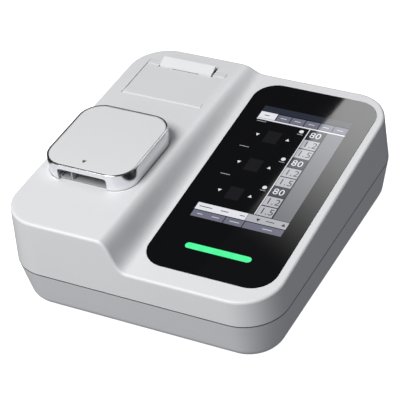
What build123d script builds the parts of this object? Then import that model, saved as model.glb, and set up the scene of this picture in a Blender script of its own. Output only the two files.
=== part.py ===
from build123d import *
import math
import os

os.makedirs("parts", exist_ok=True)

# The analyzer stands on its feet at z = 0, with its front towards -Y and its screen on the +X side.
# All sizes are in millimetres.

# Casing. Its width and depth follow from what stands side by side on its top.
corner_radius = 38.0
base_height = 42.5  # underside to the parting line
hump_height = 97.0  # underside to the flat top on the left
deck_height = 79.0  # underside to the display deck, half way back
deck_tilt = 4.4  # degrees, the deck rises to the back
side_draft = 2.3  # degrees, upper walls
base_draft = 11.4  # degrees, lower walls
base_round = 12.0
rim_round = 2.5
wall = 3.2
seam_gap = 0.6
tongue_height = 2.2
tongue_clearance = 0.15
cut_past = 1.0  # how far cuts run past the face they pierce
overrun = 20.0  # how far rough shapes run past the casing
foot_drop = 2.5  # how far the feet stand below the underside
module_left_margin = 10.3
module_right_margin = 3.1
module_front_margin = 65.35
module_door_gap = 41.75
door_rear_margin = 24.0
glass_left_margin = 0.1
glass_right_margin = 9.5
glass_front_margin = 19.7
glass_rear_margin = 13.1

# Valley between the flat top and the deck
valley_width = 27.0
valley_pull = 15.0  # how far the S-curve keeps level at each end
valley_shift = 0.67  # of the wall, towards the deck, to keep the hollow's curve parallel

# Screw posts that hold the two halves together
post_radius = 4.2
post_flare = 0.8  # the lower posts are this much stouter
post_side = 33.0  # from the casing's side, front and rear
post_end = 27.0
valley_post_inset = 14.0  # from the flat top's edge into the valley
valley_post_end = 24.0
valley_post_setback = 12.65  # behind the module's front face
side_post_inset = 21.0
side_post_setback = 17.15  # behind the module
screw_radius = 1.45
screw_hole_radius = 1.5
screw_head_radius = 2.8
screw_head_height = 2.4
well_radius = 3.2
thread_depth = 10.0
post_web = 6.0  # plastic left under the joint for the screw head
driver_radius = 1.3
driver_depth = 1.4

# Feet
foot_radius = 8.0
foot_recess = 1.2
foot_gap = 0.2
foot_chamfer = 0.8
foot_side = 41.0
foot_end = 43.0

# Cover glass, screen and light bar, on the deck
glass_width = 120.4
glass_radius = 22.0
glass_thickness = 1.5
glass_proud = 0.2
glass_gap = 0.3
tape_thickness = 0.3
tape_width = 4.0
tape_inset = 0.5
screen_view_width = 85.9
screen_view_length = 153.1
screen_offset = (0.1, 16.3)  # from the glass's centre
lcd_side_border = 7.05
lcd_end_border = 5.95
lcd_thickness = 5.7
lcd_clearance = 0.6
lcd_frame_step = 0.4
lcd_view_margin = 0.5
lcd_corner = 0.5
light_length = 61.4
light_width = 6.6
light_offset = 0.8  # to the right of the glass's centre
light_front = 30.1  # behind the glass's front edge
light_gap = 0.12
light_flange = 2.4
light_flange_thickness = 1.6
lamp_board_overhang = 11.3
lamp_board_width = 10.0
lamp_board_thickness = 1.2
lamp_board_drop = 6.0  # deck surface to the lamp board
lamp_board_corner = 2.0
lamp_count = 6
lamp_size = (3.5, 2.8)
lamp_clearance = 0.3
lamp_screw_inset = 3.0
lamp_boss_radius = 2.4
lamp_screw_radius = 0.9
lamp_head_radius = 1.7
lamp_head_height = 1.2
lamp_pilot_radius = 0.95
lamp_thread = 3.0
bracket_thickness = 1.2
bracket_lip = 4.0
bracket_margin = 2.0
bracket_boss_radius = 3.0
bracket_boss_side = 5.6  # boss centre outside the LCD's edge
bracket_boss_end = 22.5  # boss centre from the LCD's end
bracket_arm_width = 14.0
bracket_side_margin = 0.5
bracket_window_side = 12.0
bracket_window_bridge = 18.0
bracket_window_radius = 5.0
bracket_thread = 4.5
small_screw_radius = 1.2
small_hole_radius = 1.25
small_pass_radius = 1.45
small_head_radius = 2.2
small_head_height = 1.6
thread_spare = 0.5  # pilots are deeper than their screws

# Card module on the flat top
module_width = 87.6
module_depth = 92.5
module_radius = 21.0
module_height = 16.0
band_thickness = 1.5
band_seat_depth = 1.0
band_seat_gap = 0.5
band_round = 0.7
module_clearance = 0.12
cover_thickness = 2.0
cover_gap = 0.3
cover_chamfer = 0.3
cover_drop = 0.2
slot_width = 48.6
slot_offset = -1.0  # slot's middle from the module's
slot_bottom = 1.2  # above the flat top
slot_top = 11.2
slot_corner = 2.6
lane_width = 13.3  # left edge of the slot to the rib
rib_thickness = 1.2
rib_length = 24.0
module_rear_wall = 3.4

# Card carriage and its drive
carriage_clearance = 0.5
carriage_length = 48.0
carriage_plate = 1.8
carriage_travel = 32.0
carriage_lip = 1.5
carriage_setback = 1.2  # behind the module's front face
card_side_gap = 0.85
card_recess = 0.7
card_stop = 2.0  # rear stop of the card's recess
foot_web_width = 12.0
foot_way_side = 3.0  # room round the foot in the flat top
block_length = 16.0
block_start = 16.0  # from the carriage's front edge
block_height = 12.0
block_side = 5.0  # outside the rod's axis
block_corner = 3.0
rod_radius = 2.0
rod_spread = 20.0
rod_rise = 4.0  # rods above the screw
rod_fit = 0.05
lead_screw_radius = 3.0
nut_radius = 5.0
nut_flange_radius = 7.0
nut_flange_thickness = 2.0
screw_drop = 14.5  # flat top down to the screw's axis
frame_sheet = 1.5
frame_side = 6.0  # outside the rod's axis
frame_front_margin = 4.0  # behind the module's front face
frame_rear_room = 3.0  # behind the block at the end of its travel
frame_tab = 8.0
frame_tab_width = 14.0
frame_drop = 9.0  # frame's underside below the screw's axis
frame_bend = 1.2
drive_motor_side = 20.0
drive_motor_length = 30.0
motor_corner = 3.0
motor_bell = 7.0
motor_step = 0.8
head_side = 24.0
head_height = 5.1
head_rear_gap = 8.0
head_clearance = 0.2
head_flange = (4.0, 1.5)
head_step = 2.0
lens_radius = 5.0
lens_wall = 1.6
lens_length = 1.2

# Printer
paper_radius = 20.0
paper_width = 57.0
core_radius = 6.0
paper_gap = 0.3
printer_offset = 3.15  # printer's middle from the module's
door_side = 11.8  # outside the paper
door_thickness = 3.0
door_gap = 0.4
door_ridge_front = 7.3
door_ridge_rear = 5.4
door_panel_drop = 0.6
door_spare = 16.4  # door's length beyond the roll
hinge_radius = 2.4
hinge_pin_radius = 1.0
hinge_pin_fit = 0.05
hinge_pin_seat = 3.0  # how far the pin reaches into the casing at each end
hinge_block = (7.0, 4.0)
trough_play = 2.3
trough_wall = 2.0
trough_headroom = 7.0  # flat top down to the top of a roll at the trough's middle
trough_lead = 2.9  # trough's front wall ahead of the door
platen_radius = 5.0
platen_side = 1.5  # sleeve is this much shorter than the paper at each end
platen_shaft_radius = 2.0
platen_inset = 16.0  # ahead of the door's rear edge
platen_drop = 9.0  # below the flat top
gear_gap = 1.0
gear_module = 0.5
gear_width = 3.0
platen_gear_teeth = 20
cheek_thickness = 2.0
cheek_gap = 1.1  # paper's edge to the cheek
cheek_drop = 5.0  # below the platen's axis
cheek_root = 6.2
cheek_tip = 4.0
catch_depth = 2.1
catch_setback = 0.4
catch_width = 3.0
catch_drop = 2.5  # below the platen's axis
catch_notch = (1.0, 2.5)
print_head_side = 5.5  # narrower than the paper at each end
print_head_bar = [(6.8, -1.8), (-0.4, -7.2), (1.4, -9.6)]  # slanted bar's corners from the platen's axis
print_head_foot = 3.0
print_head_seat = 5.0  # top of its seat on the frame's wall, below the platen's axis
latch_inset = 5.4  # latch pin ahead of the door's rear edge
latch_drop = 2.4  # below the flat top
latch_barrel = 1.9
latch_pin_radius = 0.9
latch_gap = 0.7
latch_side_gap = 1.2
latch_reach = 8.9  # from the pin back to the plate's rear edge
latch_rise = 4.0  # rear edge above the flat top
latch_plate = 1.8
latch_lip = 0.4
latch_lip_rise = 0.5  # front of the plate above the flat top
latch_edge = 0.7  # the rear edge leans back by this much
latch_root = (1.0, 1.6)  # where the plate's underside meets the barrel, from the pin's axis
latch_ear_play = 0.4
latch_ear_room = (4.6, 4.9)
latch_ear_room_drop = 0.85
nose_width = 3.0
nose_front = 1.2  # from the pin's axis forward
nose_back = 1.4
nose_levels = (3.0, 1.8, 0.2)  # shoulder, tip and underside above the platen's axis
nose_gap = 0.3  # tip to the door's notch
latch_recess = 5.0  # behind the door
ear_offset = 12.0
ear_width = 2.6
ear_half = 1.3
ear_foot = 3.0  # from the pin's axis back along the shelf
shelf_drop = 6.5  # below the platen's axis
shelf_setback = 1.6  # print head's wall in front of the latch pin
end_plate_reach = 9.0  # the high part of the end plates stops this far before the platen
end_plate_clearance = 0.6

# Boards and rear sockets
board_width = 88.0
board_length = 143.5
board_thickness = 1.6
board_corner = 2.0
board_left_of_panel = 4.0
board_to_panel = 6.5
standoff_height = 8.0
standoff_radius = 3.2
standoff_pilot = 6.0
board_screw_thread = 5.0
board_hole_inset = 4.0
chip_height = 2.2
chips = [  # from the board's rear left corner, with each chip's width and depth
    (42, 91.5, 17, 17),
    (42, 63.5, 12, 9),
    (64, 63.5, 12, 9),
    (16, 113.5, 20, 6),
    (16, 91.5, 20, 6),
]
capacitors = [(16, 33.5), (28, 33.5)]  # from the board's rear right corner
capacitor_radius = 4.0
capacitor_height = 11.0
coil_place = (10, 101.5)  # from the board's rear right corner
coil_radius = 6.0
coil_height = 6.0
panel_width = 90.0
panel_right_margin = 37.0
panel_inset = 12.0  # panel's face ahead of the casing's rear
panel_bottom = 8.0  # above the underside
panel_top = 36.0
panel_thickness = 2.6
socket_gap = 0.2
network_offset = 14.0  # sockets are placed from the panel's left edge
network_size = (16.0, 17.0, 13.4)
network_mouth = (11.8, 12.0, 8.2)
usb_offsets = (32.0, 48.0)
usb_size = (13.2, 15.0, 6.0)
usb_wall = 0.4
usb_depth = 11.0
usb_tongue = (1.1, 1.6, 1.4)
inlet_offset = 62.0
inlet_radius = 4.0
inlet_wall = 0.8
inlet_pin_radius = 1.0
inlet_rise = 6.0  # above the board
inlet_block = (9.0, 11.0, 11.0)
inlet_depth = 9.0
switch_offset = 77.0
switch_bezel = (21.0, 2.0, 15.0)
switch_corner = 1.5
switch_body = (19.0, 12.6, 12.8)
switch_cavity = 10.0
switch_pivot_depth = 3.0
rocker_length = 14.8
rocker_width = 9.6
rocker_end_gap = 0.9
rocker_side_gap = 0.3
rocker_tilt = 8.0  # degrees each way
rocker_end_height = 4.6  # from the pivot
rocker_waist_height = 3.5
rocker_depth = 2.4
rocker_pin_radius = 1.0
rocker_pin_length = 1.0
rocker_pin_fit = 0.06
vent_count = 9
vent_length = 44.0
vent_width = 2.4
vent_pitch = 6.0
vent_shift = (-2.0, -9.75)  # from the middle of the main board

# Places and levels worked out from the sizes above
door_length = 2 * paper_radius + door_spare
door_width = paper_width + 2 * door_side
hump_width = module_left_margin + module_width + module_right_margin
body_width = hump_width + valley_width + glass_left_margin + glass_width + glass_right_margin
body_depth = module_front_margin + module_depth + module_door_gap + door_length + door_rear_margin
left_x, right_x = -body_width / 2, body_width / 2
front_y, rear_y = -body_depth / 2, body_depth / 2
valley_left = left_x + hump_width
valley_right = valley_left + valley_width
tilt = math.radians(deck_tilt)
parting_z = foot_drop + base_height
upper_edge_z = parting_z + seam_gap / 2
lower_edge_z = parting_z - seam_gap / 2
hump_z = foot_drop + hump_height
floor_z = foot_drop + wall
hump_underside = hump_z - wall
deck_plane = Plane(
    origin=(0, 0, foot_drop + deck_height),
    x_dir=(1, 0, 0),
    z_dir=(0, -math.sin(tilt), math.cos(tilt)),
)
light_depth = wall + light_flange_thickness
pocket_depth = glass_thickness + tape_thickness - glass_proud
lcd_bottom = pocket_depth + lcd_thickness
lcd_width = screen_view_width + 2 * lcd_side_border
lcd_length = screen_view_length + 2 * lcd_end_border
bracket_boss_half_pitch = lcd_length / 2 - bracket_boss_end
lamp_board_length = light_length + 2 * lamp_board_overhang
lamp_screw_pitch = lamp_board_length - 2 * lamp_screw_inset
glass_length = body_depth - glass_front_margin - glass_rear_margin
glass_centre = (
    right_x - glass_right_margin - glass_width / 2,
    front_y + glass_front_margin + glass_length / 2,
)
screen_centre = (glass_centre[0] + screen_offset[0], glass_centre[1] + screen_offset[1])
light_centre = (glass_centre[0] + light_offset, front_y + glass_front_margin + light_front)
module_centre = (
    left_x + module_left_margin + module_width / 2,
    front_y + module_front_margin + module_depth / 2,
)
band_bottom = hump_z - band_seat_depth
module_top = hump_z + module_height
module_front = module_centre[1] - module_depth / 2
module_back = module_centre[1] + module_depth / 2
slot_left = module_centre[0] + slot_offset - slot_width / 2
slot_right = slot_left + slot_width
slot_floor_z = hump_z + slot_bottom
slot_ceiling_z = hump_z + slot_top
rib_x = slot_left + lane_width
cover_top = module_top - cover_drop
cover_bottom = cover_top - cover_thickness
screw_axis_z = hump_z - screw_drop
rod_z = screw_axis_z + rod_rise
carriage_front = module_front + band_thickness + carriage_setback
carriage_x = (slot_left + slot_right) / 2
carriage_width = slot_width - 2 * carriage_clearance
card_width = slot_right - rib_x - rib_thickness / 2 - 2 * card_side_gap
block_front = carriage_front + block_start
block_back = block_front + block_length
frame_half_width = rod_spread + frame_side
frame_front = module_front + frame_front_margin
frame_back = block_back + carriage_travel + frame_sheet + frame_rear_room
printer_x = module_centre[0] + printer_offset
door_rear = rear_y - door_rear_margin
door_front = door_rear - door_length
door_underside = hump_z - door_thickness
door_left = printer_x - door_width / 2
door_right = printer_x + door_width / 2
hinge_y = door_front + hinge_radius
hinge_z = hump_z - hinge_radius
trough_radius = paper_radius + trough_play
trough_y = door_front - trough_lead + trough_wall + trough_radius
trough_z = hump_z - trough_headroom - paper_radius
trough_centre = (trough_y, trough_z)
paper_z = trough_z - trough_radius + paper_gap + paper_radius
platen_centre = (door_rear - platen_inset, hump_z - platen_drop)
platen_length = paper_width - 2 * platen_side
cheek_offset = paper_width / 2 + cheek_gap
print_head_width = paper_width - 2 * print_head_side
latch_width = paper_width - 2 * platen_side
latch_pivot = (door_rear - latch_inset, hump_z - latch_drop)
latch_back_y = latch_pivot[0] + latch_reach
latch_recess_back = door_rear + latch_recess
notch_front = latch_pivot[0] - latch_barrel - latch_gap
notch_half = latch_width / 2 + latch_side_gap
panel_x = (right_x - panel_right_margin - panel_width, right_x - panel_right_margin)
panel_face_y = rear_y - panel_inset
panel_mid_z = foot_drop + (panel_bottom + panel_top) / 2
network_x = panel_x[0] + network_offset
usb_places = [panel_x[0] + offset for offset in usb_offsets]
inlet_x = panel_x[0] + inlet_offset
switch_x = panel_x[0] + switch_offset
board_z = floor_z + standoff_height
board_x = (panel_x[0] - board_left_of_panel, panel_x[0] - board_left_of_panel + board_width)
board_y = (panel_face_y - board_to_panel - board_length, panel_face_y - board_to_panel)
board_centre = ((board_x[0] + board_x[1]) / 2, (board_y[0] + board_y[1]) / 2)
vent_centre = (board_centre[0] + vent_shift[0], board_centre[1] + vent_shift[1])
board_holes = [
    (x, y)
    for x in (board_x[0] + board_hole_inset, board_x[1] - board_hole_inset)
    for y in (board_y[0] + board_hole_inset, board_y[1] - board_hole_inset)
]
socket_z = board_z + board_thickness
inlet_z = socket_z + inlet_rise
post_places = [
    (left_x + post_side, front_y + post_end),
    (right_x - post_side, front_y + post_end),
    (right_x - post_side, rear_y - post_end),
    (valley_left + valley_post_inset, rear_y - valley_post_end),
    (left_x + side_post_inset, module_back + side_post_setback),
    (valley_left + valley_post_inset, module_front + valley_post_setback),
]
foot_places = [
    (left_x + foot_side, front_y + foot_end),
    (right_x - foot_side, front_y + foot_end),
    (right_x - foot_side, rear_y - foot_end),
    (left_x + foot_side, rear_y - foot_end),
]


def deck_z(y):
    """Height of the display deck above the table at a distance y along the body."""
    return foot_drop + deck_height + y * math.tan(tilt)


def patch(low, high, mode=Mode.ADD):
    """Rectangle in the current sketch, given by its two opposite corners."""
    with Locations(((low[0] + high[0]) / 2, (low[1] + high[1]) / 2)):
        Rectangle(high[0] - low[0], high[1] - low[1], mode=mode)


def gear_outline(teeth, first):
    """Toothed wheel in the current sketch, with one tooth at the angle first."""
    Circle(gear_module * (teeth / 2 - 1.1))
    with PolarLocations(gear_module * (teeth / 2 - 0.1), teeth, start_angle=first):
        Trapezoid(2.3 * gear_module, 2.2 * gear_module, 70, rotation=-90)


def casing_form(inset, bottom_z):
    """Upper casing's solid form: flat top, S-curve valley and tilted deck inside drafted walls."""
    reach = body_depth / 2 + overrun
    side = body_width / 2 + overrun
    top = hump_z - inset
    shift = -valley_shift * inset
    with BuildPart() as form:
        for y in (-reach, reach):
            low = deck_z(y) - inset / math.cos(tilt)
            start = (valley_right + shift, low)
            end = (valley_left + shift, top)
            with BuildSketch(Plane.XZ.offset(-y)):
                with BuildLine():
                    Polyline(end, (-side, top), (-side, bottom_z), (side, bottom_z), (side, low), start)
                    Bezier(start, (start[0] - valley_pull, low), (end[0] + valley_pull, top), end)
                make_face()
        loft(ruled=True)
        with BuildSketch(Plane.XY.offset(bottom_z)):
            RectangleRounded(body_width - 2 * inset, body_depth - 2 * inset, corner_radius - inset)
        extrude(amount=hump_z + overrun - bottom_z, taper=side_draft, mode=Mode.INTERSECT)
    return form.part


def rim_edges(form, bottom_z):
    """Top outer edges of the casing, past the seams inside the top and the upright corner seams."""
    edges = form.edges().filter_by(lambda edge: edge.bounding_box().min.Z > bottom_z + tongue_height)
    side_limit = right_x - corner_radius
    end_limit = rear_y - corner_radius / 2
    return edges.filter_by(lambda edge: abs((edge @ 0.5).X) > side_limit or abs((edge @ 0.5).Y) > end_limit)


# Upper casing. Its hollow is the same form one wall smaller, less the posts and bosses left standing.
with BuildPart() as upper_hollow:
    add(casing_form(wall, upper_edge_z - cut_past))
    with BuildSketch(Plane.XY.offset(parting_z)):
        with Locations(*post_places):
            Circle(post_radius)
    extrude(amount=hump_height, mode=Mode.SUBTRACT)
    with BuildSketch(deck_plane.offset(-lcd_bottom)):
        with Locations(screen_centre):
            with GridLocations(lcd_width + 2 * bracket_boss_side, 2 * bracket_boss_half_pitch, 2, 2):
                Circle(bracket_boss_radius)
    extrude(amount=lcd_bottom, mode=Mode.SUBTRACT)
    with BuildSketch(deck_plane.offset(-lamp_board_drop)):
        with Locations(light_centre):
            with GridLocations(lamp_screw_pitch, 1, 2, 1):
                Circle(lamp_boss_radius)
    extrude(amount=lamp_board_drop, mode=Mode.SUBTRACT)
    with BuildSketch(Plane.YZ.offset(door_left - door_gap)):
        with Locations((hinge_y, hinge_z)):
            Rectangle(hinge_block[0], hinge_block[0])
    extrude(amount=-hinge_block[1], mode=Mode.SUBTRACT)
    with BuildSketch(Plane.YZ.offset(door_right + door_gap)):
        with Locations((hinge_y, hinge_z)):
            Rectangle(hinge_block[0], hinge_block[0])
    extrude(amount=hinge_block[1], mode=Mode.SUBTRACT)

with BuildPart() as upper_casing:
    add(casing_form(0, upper_edge_z))
    fillet(rim_edges(upper_casing, upper_edge_z), rim_round)
    add(upper_hollow.part, mode=Mode.SUBTRACT)
    # Groove for the lower casing's tongue
    with BuildSketch(Plane.XY.offset(upper_edge_z)):
        RectangleRounded(body_width - wall, body_depth - wall, corner_radius - wall / 2)
        RectangleRounded(
            body_width - 2 * (wall + cut_past),
            body_depth - 2 * (wall + cut_past),
            corner_radius - wall,
            mode=Mode.SUBTRACT,
        )
    extrude(amount=tongue_height + tongue_clearance, mode=Mode.SUBTRACT)
    # Screw pilots up into the posts
    with BuildSketch(Plane.XY.offset(parting_z)):
        with Locations(*post_places):
            Circle(screw_hole_radius)
    extrude(amount=thread_depth, mode=Mode.SUBTRACT)
    # Pocket for the cover glass, then the openings for the LCD and the light bar
    with BuildSketch(deck_plane):
        with Locations(glass_centre):
            RectangleRounded(
                glass_width + 2 * glass_gap, glass_length + 2 * glass_gap, glass_radius + glass_gap
            )
    extrude(amount=-pocket_depth, mode=Mode.SUBTRACT)
    with BuildSketch(deck_plane):
        with Locations(screen_centre):
            Rectangle(lcd_width + 2 * lcd_clearance, lcd_length + 2 * lcd_clearance)
        with Locations(light_centre):
            SlotOverall(light_length + 2 * light_gap, light_width + 2 * light_gap)
    extrude(amount=-wall - cut_past, mode=Mode.SUBTRACT)
    # Pilots in the deck's bosses, for the bracket and the lamp board
    with BuildSketch(deck_plane.offset(-lcd_bottom)):
        with Locations(screen_centre):
            with GridLocations(lcd_width + 2 * bracket_boss_side, 2 * bracket_boss_half_pitch, 2, 2):
                Circle(small_hole_radius)
    extrude(amount=bracket_thread, mode=Mode.SUBTRACT)
    with BuildSketch(deck_plane.offset(-lamp_board_drop)):
        with Locations(light_centre):
            with GridLocations(lamp_screw_pitch, 1, 2, 1):
                Circle(lamp_pilot_radius)
    extrude(amount=lamp_thread, mode=Mode.SUBTRACT)
    # Seat for the card module, and the way through for the carriage's foot
    with BuildSketch(Plane.XY.offset(hump_z)):
        with Locations(module_centre):
            RectangleRounded(
                module_width + 2 * band_seat_gap,
                module_depth + 2 * band_seat_gap,
                module_radius + band_seat_gap,
            )
    extrude(amount=-band_seat_depth, mode=Mode.SUBTRACT)
    foot_way = carriage_travel + block_length + 2 * foot_way_side
    with BuildSketch(Plane.XY.offset(hump_z)):
        with Locations((carriage_x, block_front - foot_way_side + foot_way / 2)):
            Rectangle(foot_web_width + 2 * foot_way_side, foot_way)
    extrude(amount=-wall - cut_past, mode=Mode.SUBTRACT)
    # Printer door opening, with the finger recess behind its latch
    with BuildSketch(Plane.XY.offset(hump_z)):
        with Locations((printer_x, (door_front + door_rear) / 2)):
            Rectangle(door_width + 2 * door_gap, door_rear - door_front + 2 * door_gap)
        with Locations((printer_x, (door_rear + latch_recess_back) / 2)):
            Rectangle(2 * notch_half, latch_recess_back - door_rear)
    extrude(amount=-wall - cut_past, mode=Mode.SUBTRACT)
    # Bores for the door's hinge pin
    with BuildSketch(Plane.YZ.offset(door_left - door_gap - hinge_pin_seat)):
        with Locations((hinge_y, hinge_z)):
            Circle(hinge_pin_radius)
    extrude(amount=door_width + 2 * (door_gap + hinge_pin_seat), mode=Mode.SUBTRACT)
upper_casing.part.label = "upper_casing"
export_step(upper_casing.part, "parts/upper_casing.step")

# Lower casing: a drafted tub with a rounded underside, a tongue round its rim and a rear socket panel
with BuildPart() as tub_hollow:
    with BuildSketch(Plane.XY.offset(parting_z)):
        RectangleRounded(body_width - 2 * wall, body_depth - 2 * wall, corner_radius - wall)
    extrude(amount=floor_z - parting_z, taper=base_draft)
    fillet(tub_hollow.faces().sort_by(Axis.Z)[0].edges(), base_round - wall)
    with BuildSketch(Plane.XY.offset(parting_z)):
        with Locations(*post_places):
            Circle(post_radius + post_flare)
    extrude(amount=-base_height, mode=Mode.SUBTRACT)
    # Standoffs for the main board
    with BuildSketch(Plane.XY.offset(board_z)):
        with Locations(*board_holes):
            Circle(standoff_radius)
    extrude(amount=-standoff_height - cut_past, mode=Mode.SUBTRACT)
    # Socket panel and the walls that close its recess
    with BuildSketch(Plane.XY.offset(foot_drop + panel_bottom - wall)):
        patch(
            (panel_x[0] - panel_thickness, panel_face_y - panel_thickness),
            (panel_x[1] + panel_thickness, panel_face_y + overrun),
        )
    extrude(amount=panel_top - panel_bottom + wall + panel_thickness, mode=Mode.SUBTRACT)

with BuildPart() as lower_casing:
    with BuildSketch(Plane.XY.offset(lower_edge_z)):
        RectangleRounded(body_width, body_depth, corner_radius)
    extrude(amount=foot_drop - lower_edge_z, taper=base_draft)
    fillet(lower_casing.faces().sort_by(Axis.Z)[0].edges(), base_round)
    add(tub_hollow.part, mode=Mode.SUBTRACT)
    # Tongue round the rim
    tongue_inset = wall / 2 + tongue_clearance
    with BuildSketch(Plane.XY.offset(lower_edge_z)):
        RectangleRounded(
            body_width - 2 * tongue_inset, body_depth - 2 * tongue_inset, corner_radius - tongue_inset
        )
        RectangleRounded(
            body_width - 2 * wall, body_depth - 2 * wall, corner_radius - wall, mode=Mode.SUBTRACT
        )
    extrude(amount=seam_gap + tongue_height)
    # The posts' tops meet the upper casing's posts
    with BuildSketch(Plane.XY.offset(lower_edge_z)):
        with Locations(*post_places):
            Circle(post_radius + post_flare)
    extrude(amount=seam_gap / 2)
    with BuildSketch(Plane.XY.offset(parting_z)):
        with Locations(*post_places):
            Circle(screw_hole_radius)
    extrude(amount=-base_height, mode=Mode.SUBTRACT)
    with BuildSketch(Plane.XY.offset(foot_drop)):
        with Locations(*post_places):
            Circle(well_radius)
    extrude(amount=base_height - post_web, mode=Mode.SUBTRACT)
    # Pads for the feet
    with BuildSketch(Plane.XY.offset(foot_drop)):
        with Locations(*foot_places):
            Circle(foot_radius + foot_gap)
    extrude(amount=foot_recess, mode=Mode.SUBTRACT)
    # Recess outside the socket panel
    with BuildSketch(Plane.XY.offset(foot_drop + panel_bottom)):
        patch((panel_x[0], panel_face_y), (panel_x[1], panel_face_y + overrun))
    extrude(amount=panel_top - panel_bottom, mode=Mode.SUBTRACT)
    # Openings in the panel for the sockets, the inlet and the switch
    with BuildSketch(Plane.XZ.offset(-panel_face_y)):
        with Locations((network_x, socket_z + network_size[2] / 2)):
            Rectangle(network_size[0] + 2 * socket_gap, network_size[2] + 2 * socket_gap)
        for usb_x in usb_places:
            with Locations((usb_x, socket_z + usb_size[2] / 2)):
                Rectangle(usb_size[0] + 2 * socket_gap, usb_size[2] + 2 * socket_gap)
        with Locations((inlet_x, inlet_z)):
            Circle(inlet_radius + socket_gap)
        with Locations((switch_x, panel_mid_z)):
            Rectangle(switch_body[0] + socket_gap, switch_body[2] + socket_gap)
    extrude(amount=panel_thickness + cut_past, mode=Mode.SUBTRACT)
    # Cooling slots in the floor, under the main board
    with BuildSketch(Plane.XY.offset(foot_drop)):
        with Locations(vent_centre):
            with GridLocations(1, vent_pitch, 1, vent_count):
                SlotOverall(vent_length, vent_width)
    extrude(amount=wall, mode=Mode.SUBTRACT)
    # Pilots in the standoffs
    with BuildSketch(Plane.XY.offset(board_z)):
        with Locations(*board_holes):
            Circle(small_hole_radius)
    extrude(amount=-standoff_pilot, mode=Mode.SUBTRACT)
lower_casing.part.label = "lower_casing"
export_step(lower_casing.part, "parts/lower_casing.step")

# Feet, one rubber puck in each recess
with BuildPart() as rubber_feet:
    with BuildSketch():
        with Locations(*foot_places):
            Circle(foot_radius)
    extrude(amount=foot_drop + foot_recess)
    chamfer(rubber_feet.faces().filter_by(Axis.Z).group_by(Axis.Z)[0].edges(), foot_chamfer)
rubber_feet.part.label = "rubber_feet"
export_step(rubber_feet.part, "parts/rubber_feet.step")

# Casing screws, driven from below up through the posts
head_seat_z = parting_z - post_web
with BuildPart() as casing_screws:
    with BuildSketch(Plane.XY.offset(head_seat_z - screw_head_height)):
        with Locations(*post_places):
            Circle(screw_head_radius)
    extrude(amount=screw_head_height)
    with BuildSketch(Plane.XY.offset(head_seat_z)):
        with Locations(*post_places):
            Circle(screw_radius)
    extrude(amount=post_web + thread_depth - thread_spare)
    with BuildSketch(Plane.XY.offset(head_seat_z - screw_head_height)):
        with Locations(*post_places):
            RegularPolygon(driver_radius, 6)
    extrude(amount=driver_depth, mode=Mode.SUBTRACT)
casing_screws.part.label = "casing_screws"
export_step(casing_screws.part, "parts/casing_screws.step")

# Cover glass with a clear slot for the light bar, and the tape that holds it
glass_bottom_plane = deck_plane.offset(-glass_thickness + glass_proud)
with BuildPart() as cover_glass:
    with BuildSketch(glass_bottom_plane):
        with Locations(glass_centre):
            RectangleRounded(glass_width, glass_length, glass_radius)
        with Locations(light_centre):
            SlotOverall(light_length + 2 * light_gap, light_width + 2 * light_gap, mode=Mode.SUBTRACT)
    extrude(amount=glass_thickness)
cover_glass.part.label = "cover_glass"
export_step(cover_glass.part, "parts/cover_glass.step")

with BuildPart() as glass_tape:
    with BuildSketch(deck_plane.offset(-pocket_depth)):
        with Locations(glass_centre):
            RectangleRounded(
                glass_width - 2 * tape_inset, glass_length - 2 * tape_inset, glass_radius - tape_inset
            )
            tape_inner = tape_inset + tape_width
            RectangleRounded(
                glass_width - 2 * tape_inner,
                glass_length - 2 * tape_inner,
                glass_radius - tape_inner,
                mode=Mode.SUBTRACT,
            )
    extrude(amount=tape_thickness)
glass_tape.part.label = "glass_tape"
export_step(glass_tape.part, "parts/glass_tape.step")

# LCD module behind the glass: a pressed can with a raised frame round the view
with BuildPart() as lcd_panel:
    with BuildSketch(deck_plane.offset(-lcd_bottom)):
        with Locations(screen_centre):
            Rectangle(lcd_width, lcd_length)
    extrude(amount=lcd_thickness)
    with BuildSketch(deck_plane.offset(-pocket_depth)):
        with Locations(screen_centre):
            Rectangle(screen_view_width + 2 * lcd_view_margin, screen_view_length + 2 * lcd_view_margin)
    extrude(amount=-lcd_frame_step, mode=Mode.SUBTRACT)
    chamfer(lcd_panel.edges().filter_by(Axis((0, 0, 0), deck_plane.z_dir)), lcd_corner)
lcd_panel.part.label = "lcd_panel"
export_step(lcd_panel.part, "parts/lcd_panel.step")

# Bracket: a pressed plate with turned edges, screwed to the deck's bosses under the LCD
bracket_width = lcd_width + 2 * bracket_boss_side + 2 * bracket_boss_radius
bracket_length = lcd_length + 2 * bracket_margin
with BuildPart() as display_bracket:
    with BuildSketch(deck_plane.offset(-lcd_bottom - bracket_thickness)):
        with Locations(screen_centre):
            Rectangle(lcd_width + 2 * bracket_side_margin, bracket_length)
            with GridLocations(1, 2 * bracket_boss_half_pitch, 1, 2):
                Rectangle(bracket_width, bracket_arm_width)
            with GridLocations(1, lcd_length / 2, 1, 2):
                RectangleRounded(
                    lcd_width - 2 * bracket_window_side,
                    lcd_length / 2 - bracket_window_bridge,
                    bracket_window_radius,
                    mode=Mode.SUBTRACT,
                )
            with GridLocations(lcd_width + 2 * bracket_boss_side, 2 * bracket_boss_half_pitch, 2, 2):
                Circle(small_pass_radius, mode=Mode.SUBTRACT)
    extrude(amount=bracket_thickness)
    with BuildSketch(deck_plane.offset(-lcd_bottom - bracket_thickness)):
        with Locations(screen_centre):
            with GridLocations(1, bracket_length - bracket_thickness, 1, 2):
                Rectangle(lcd_width - bracket_arm_width, bracket_thickness)
    extrude(amount=-bracket_lip)
display_bracket.part.label = "display_bracket"
export_step(display_bracket.part, "parts/display_bracket.step")

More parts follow.
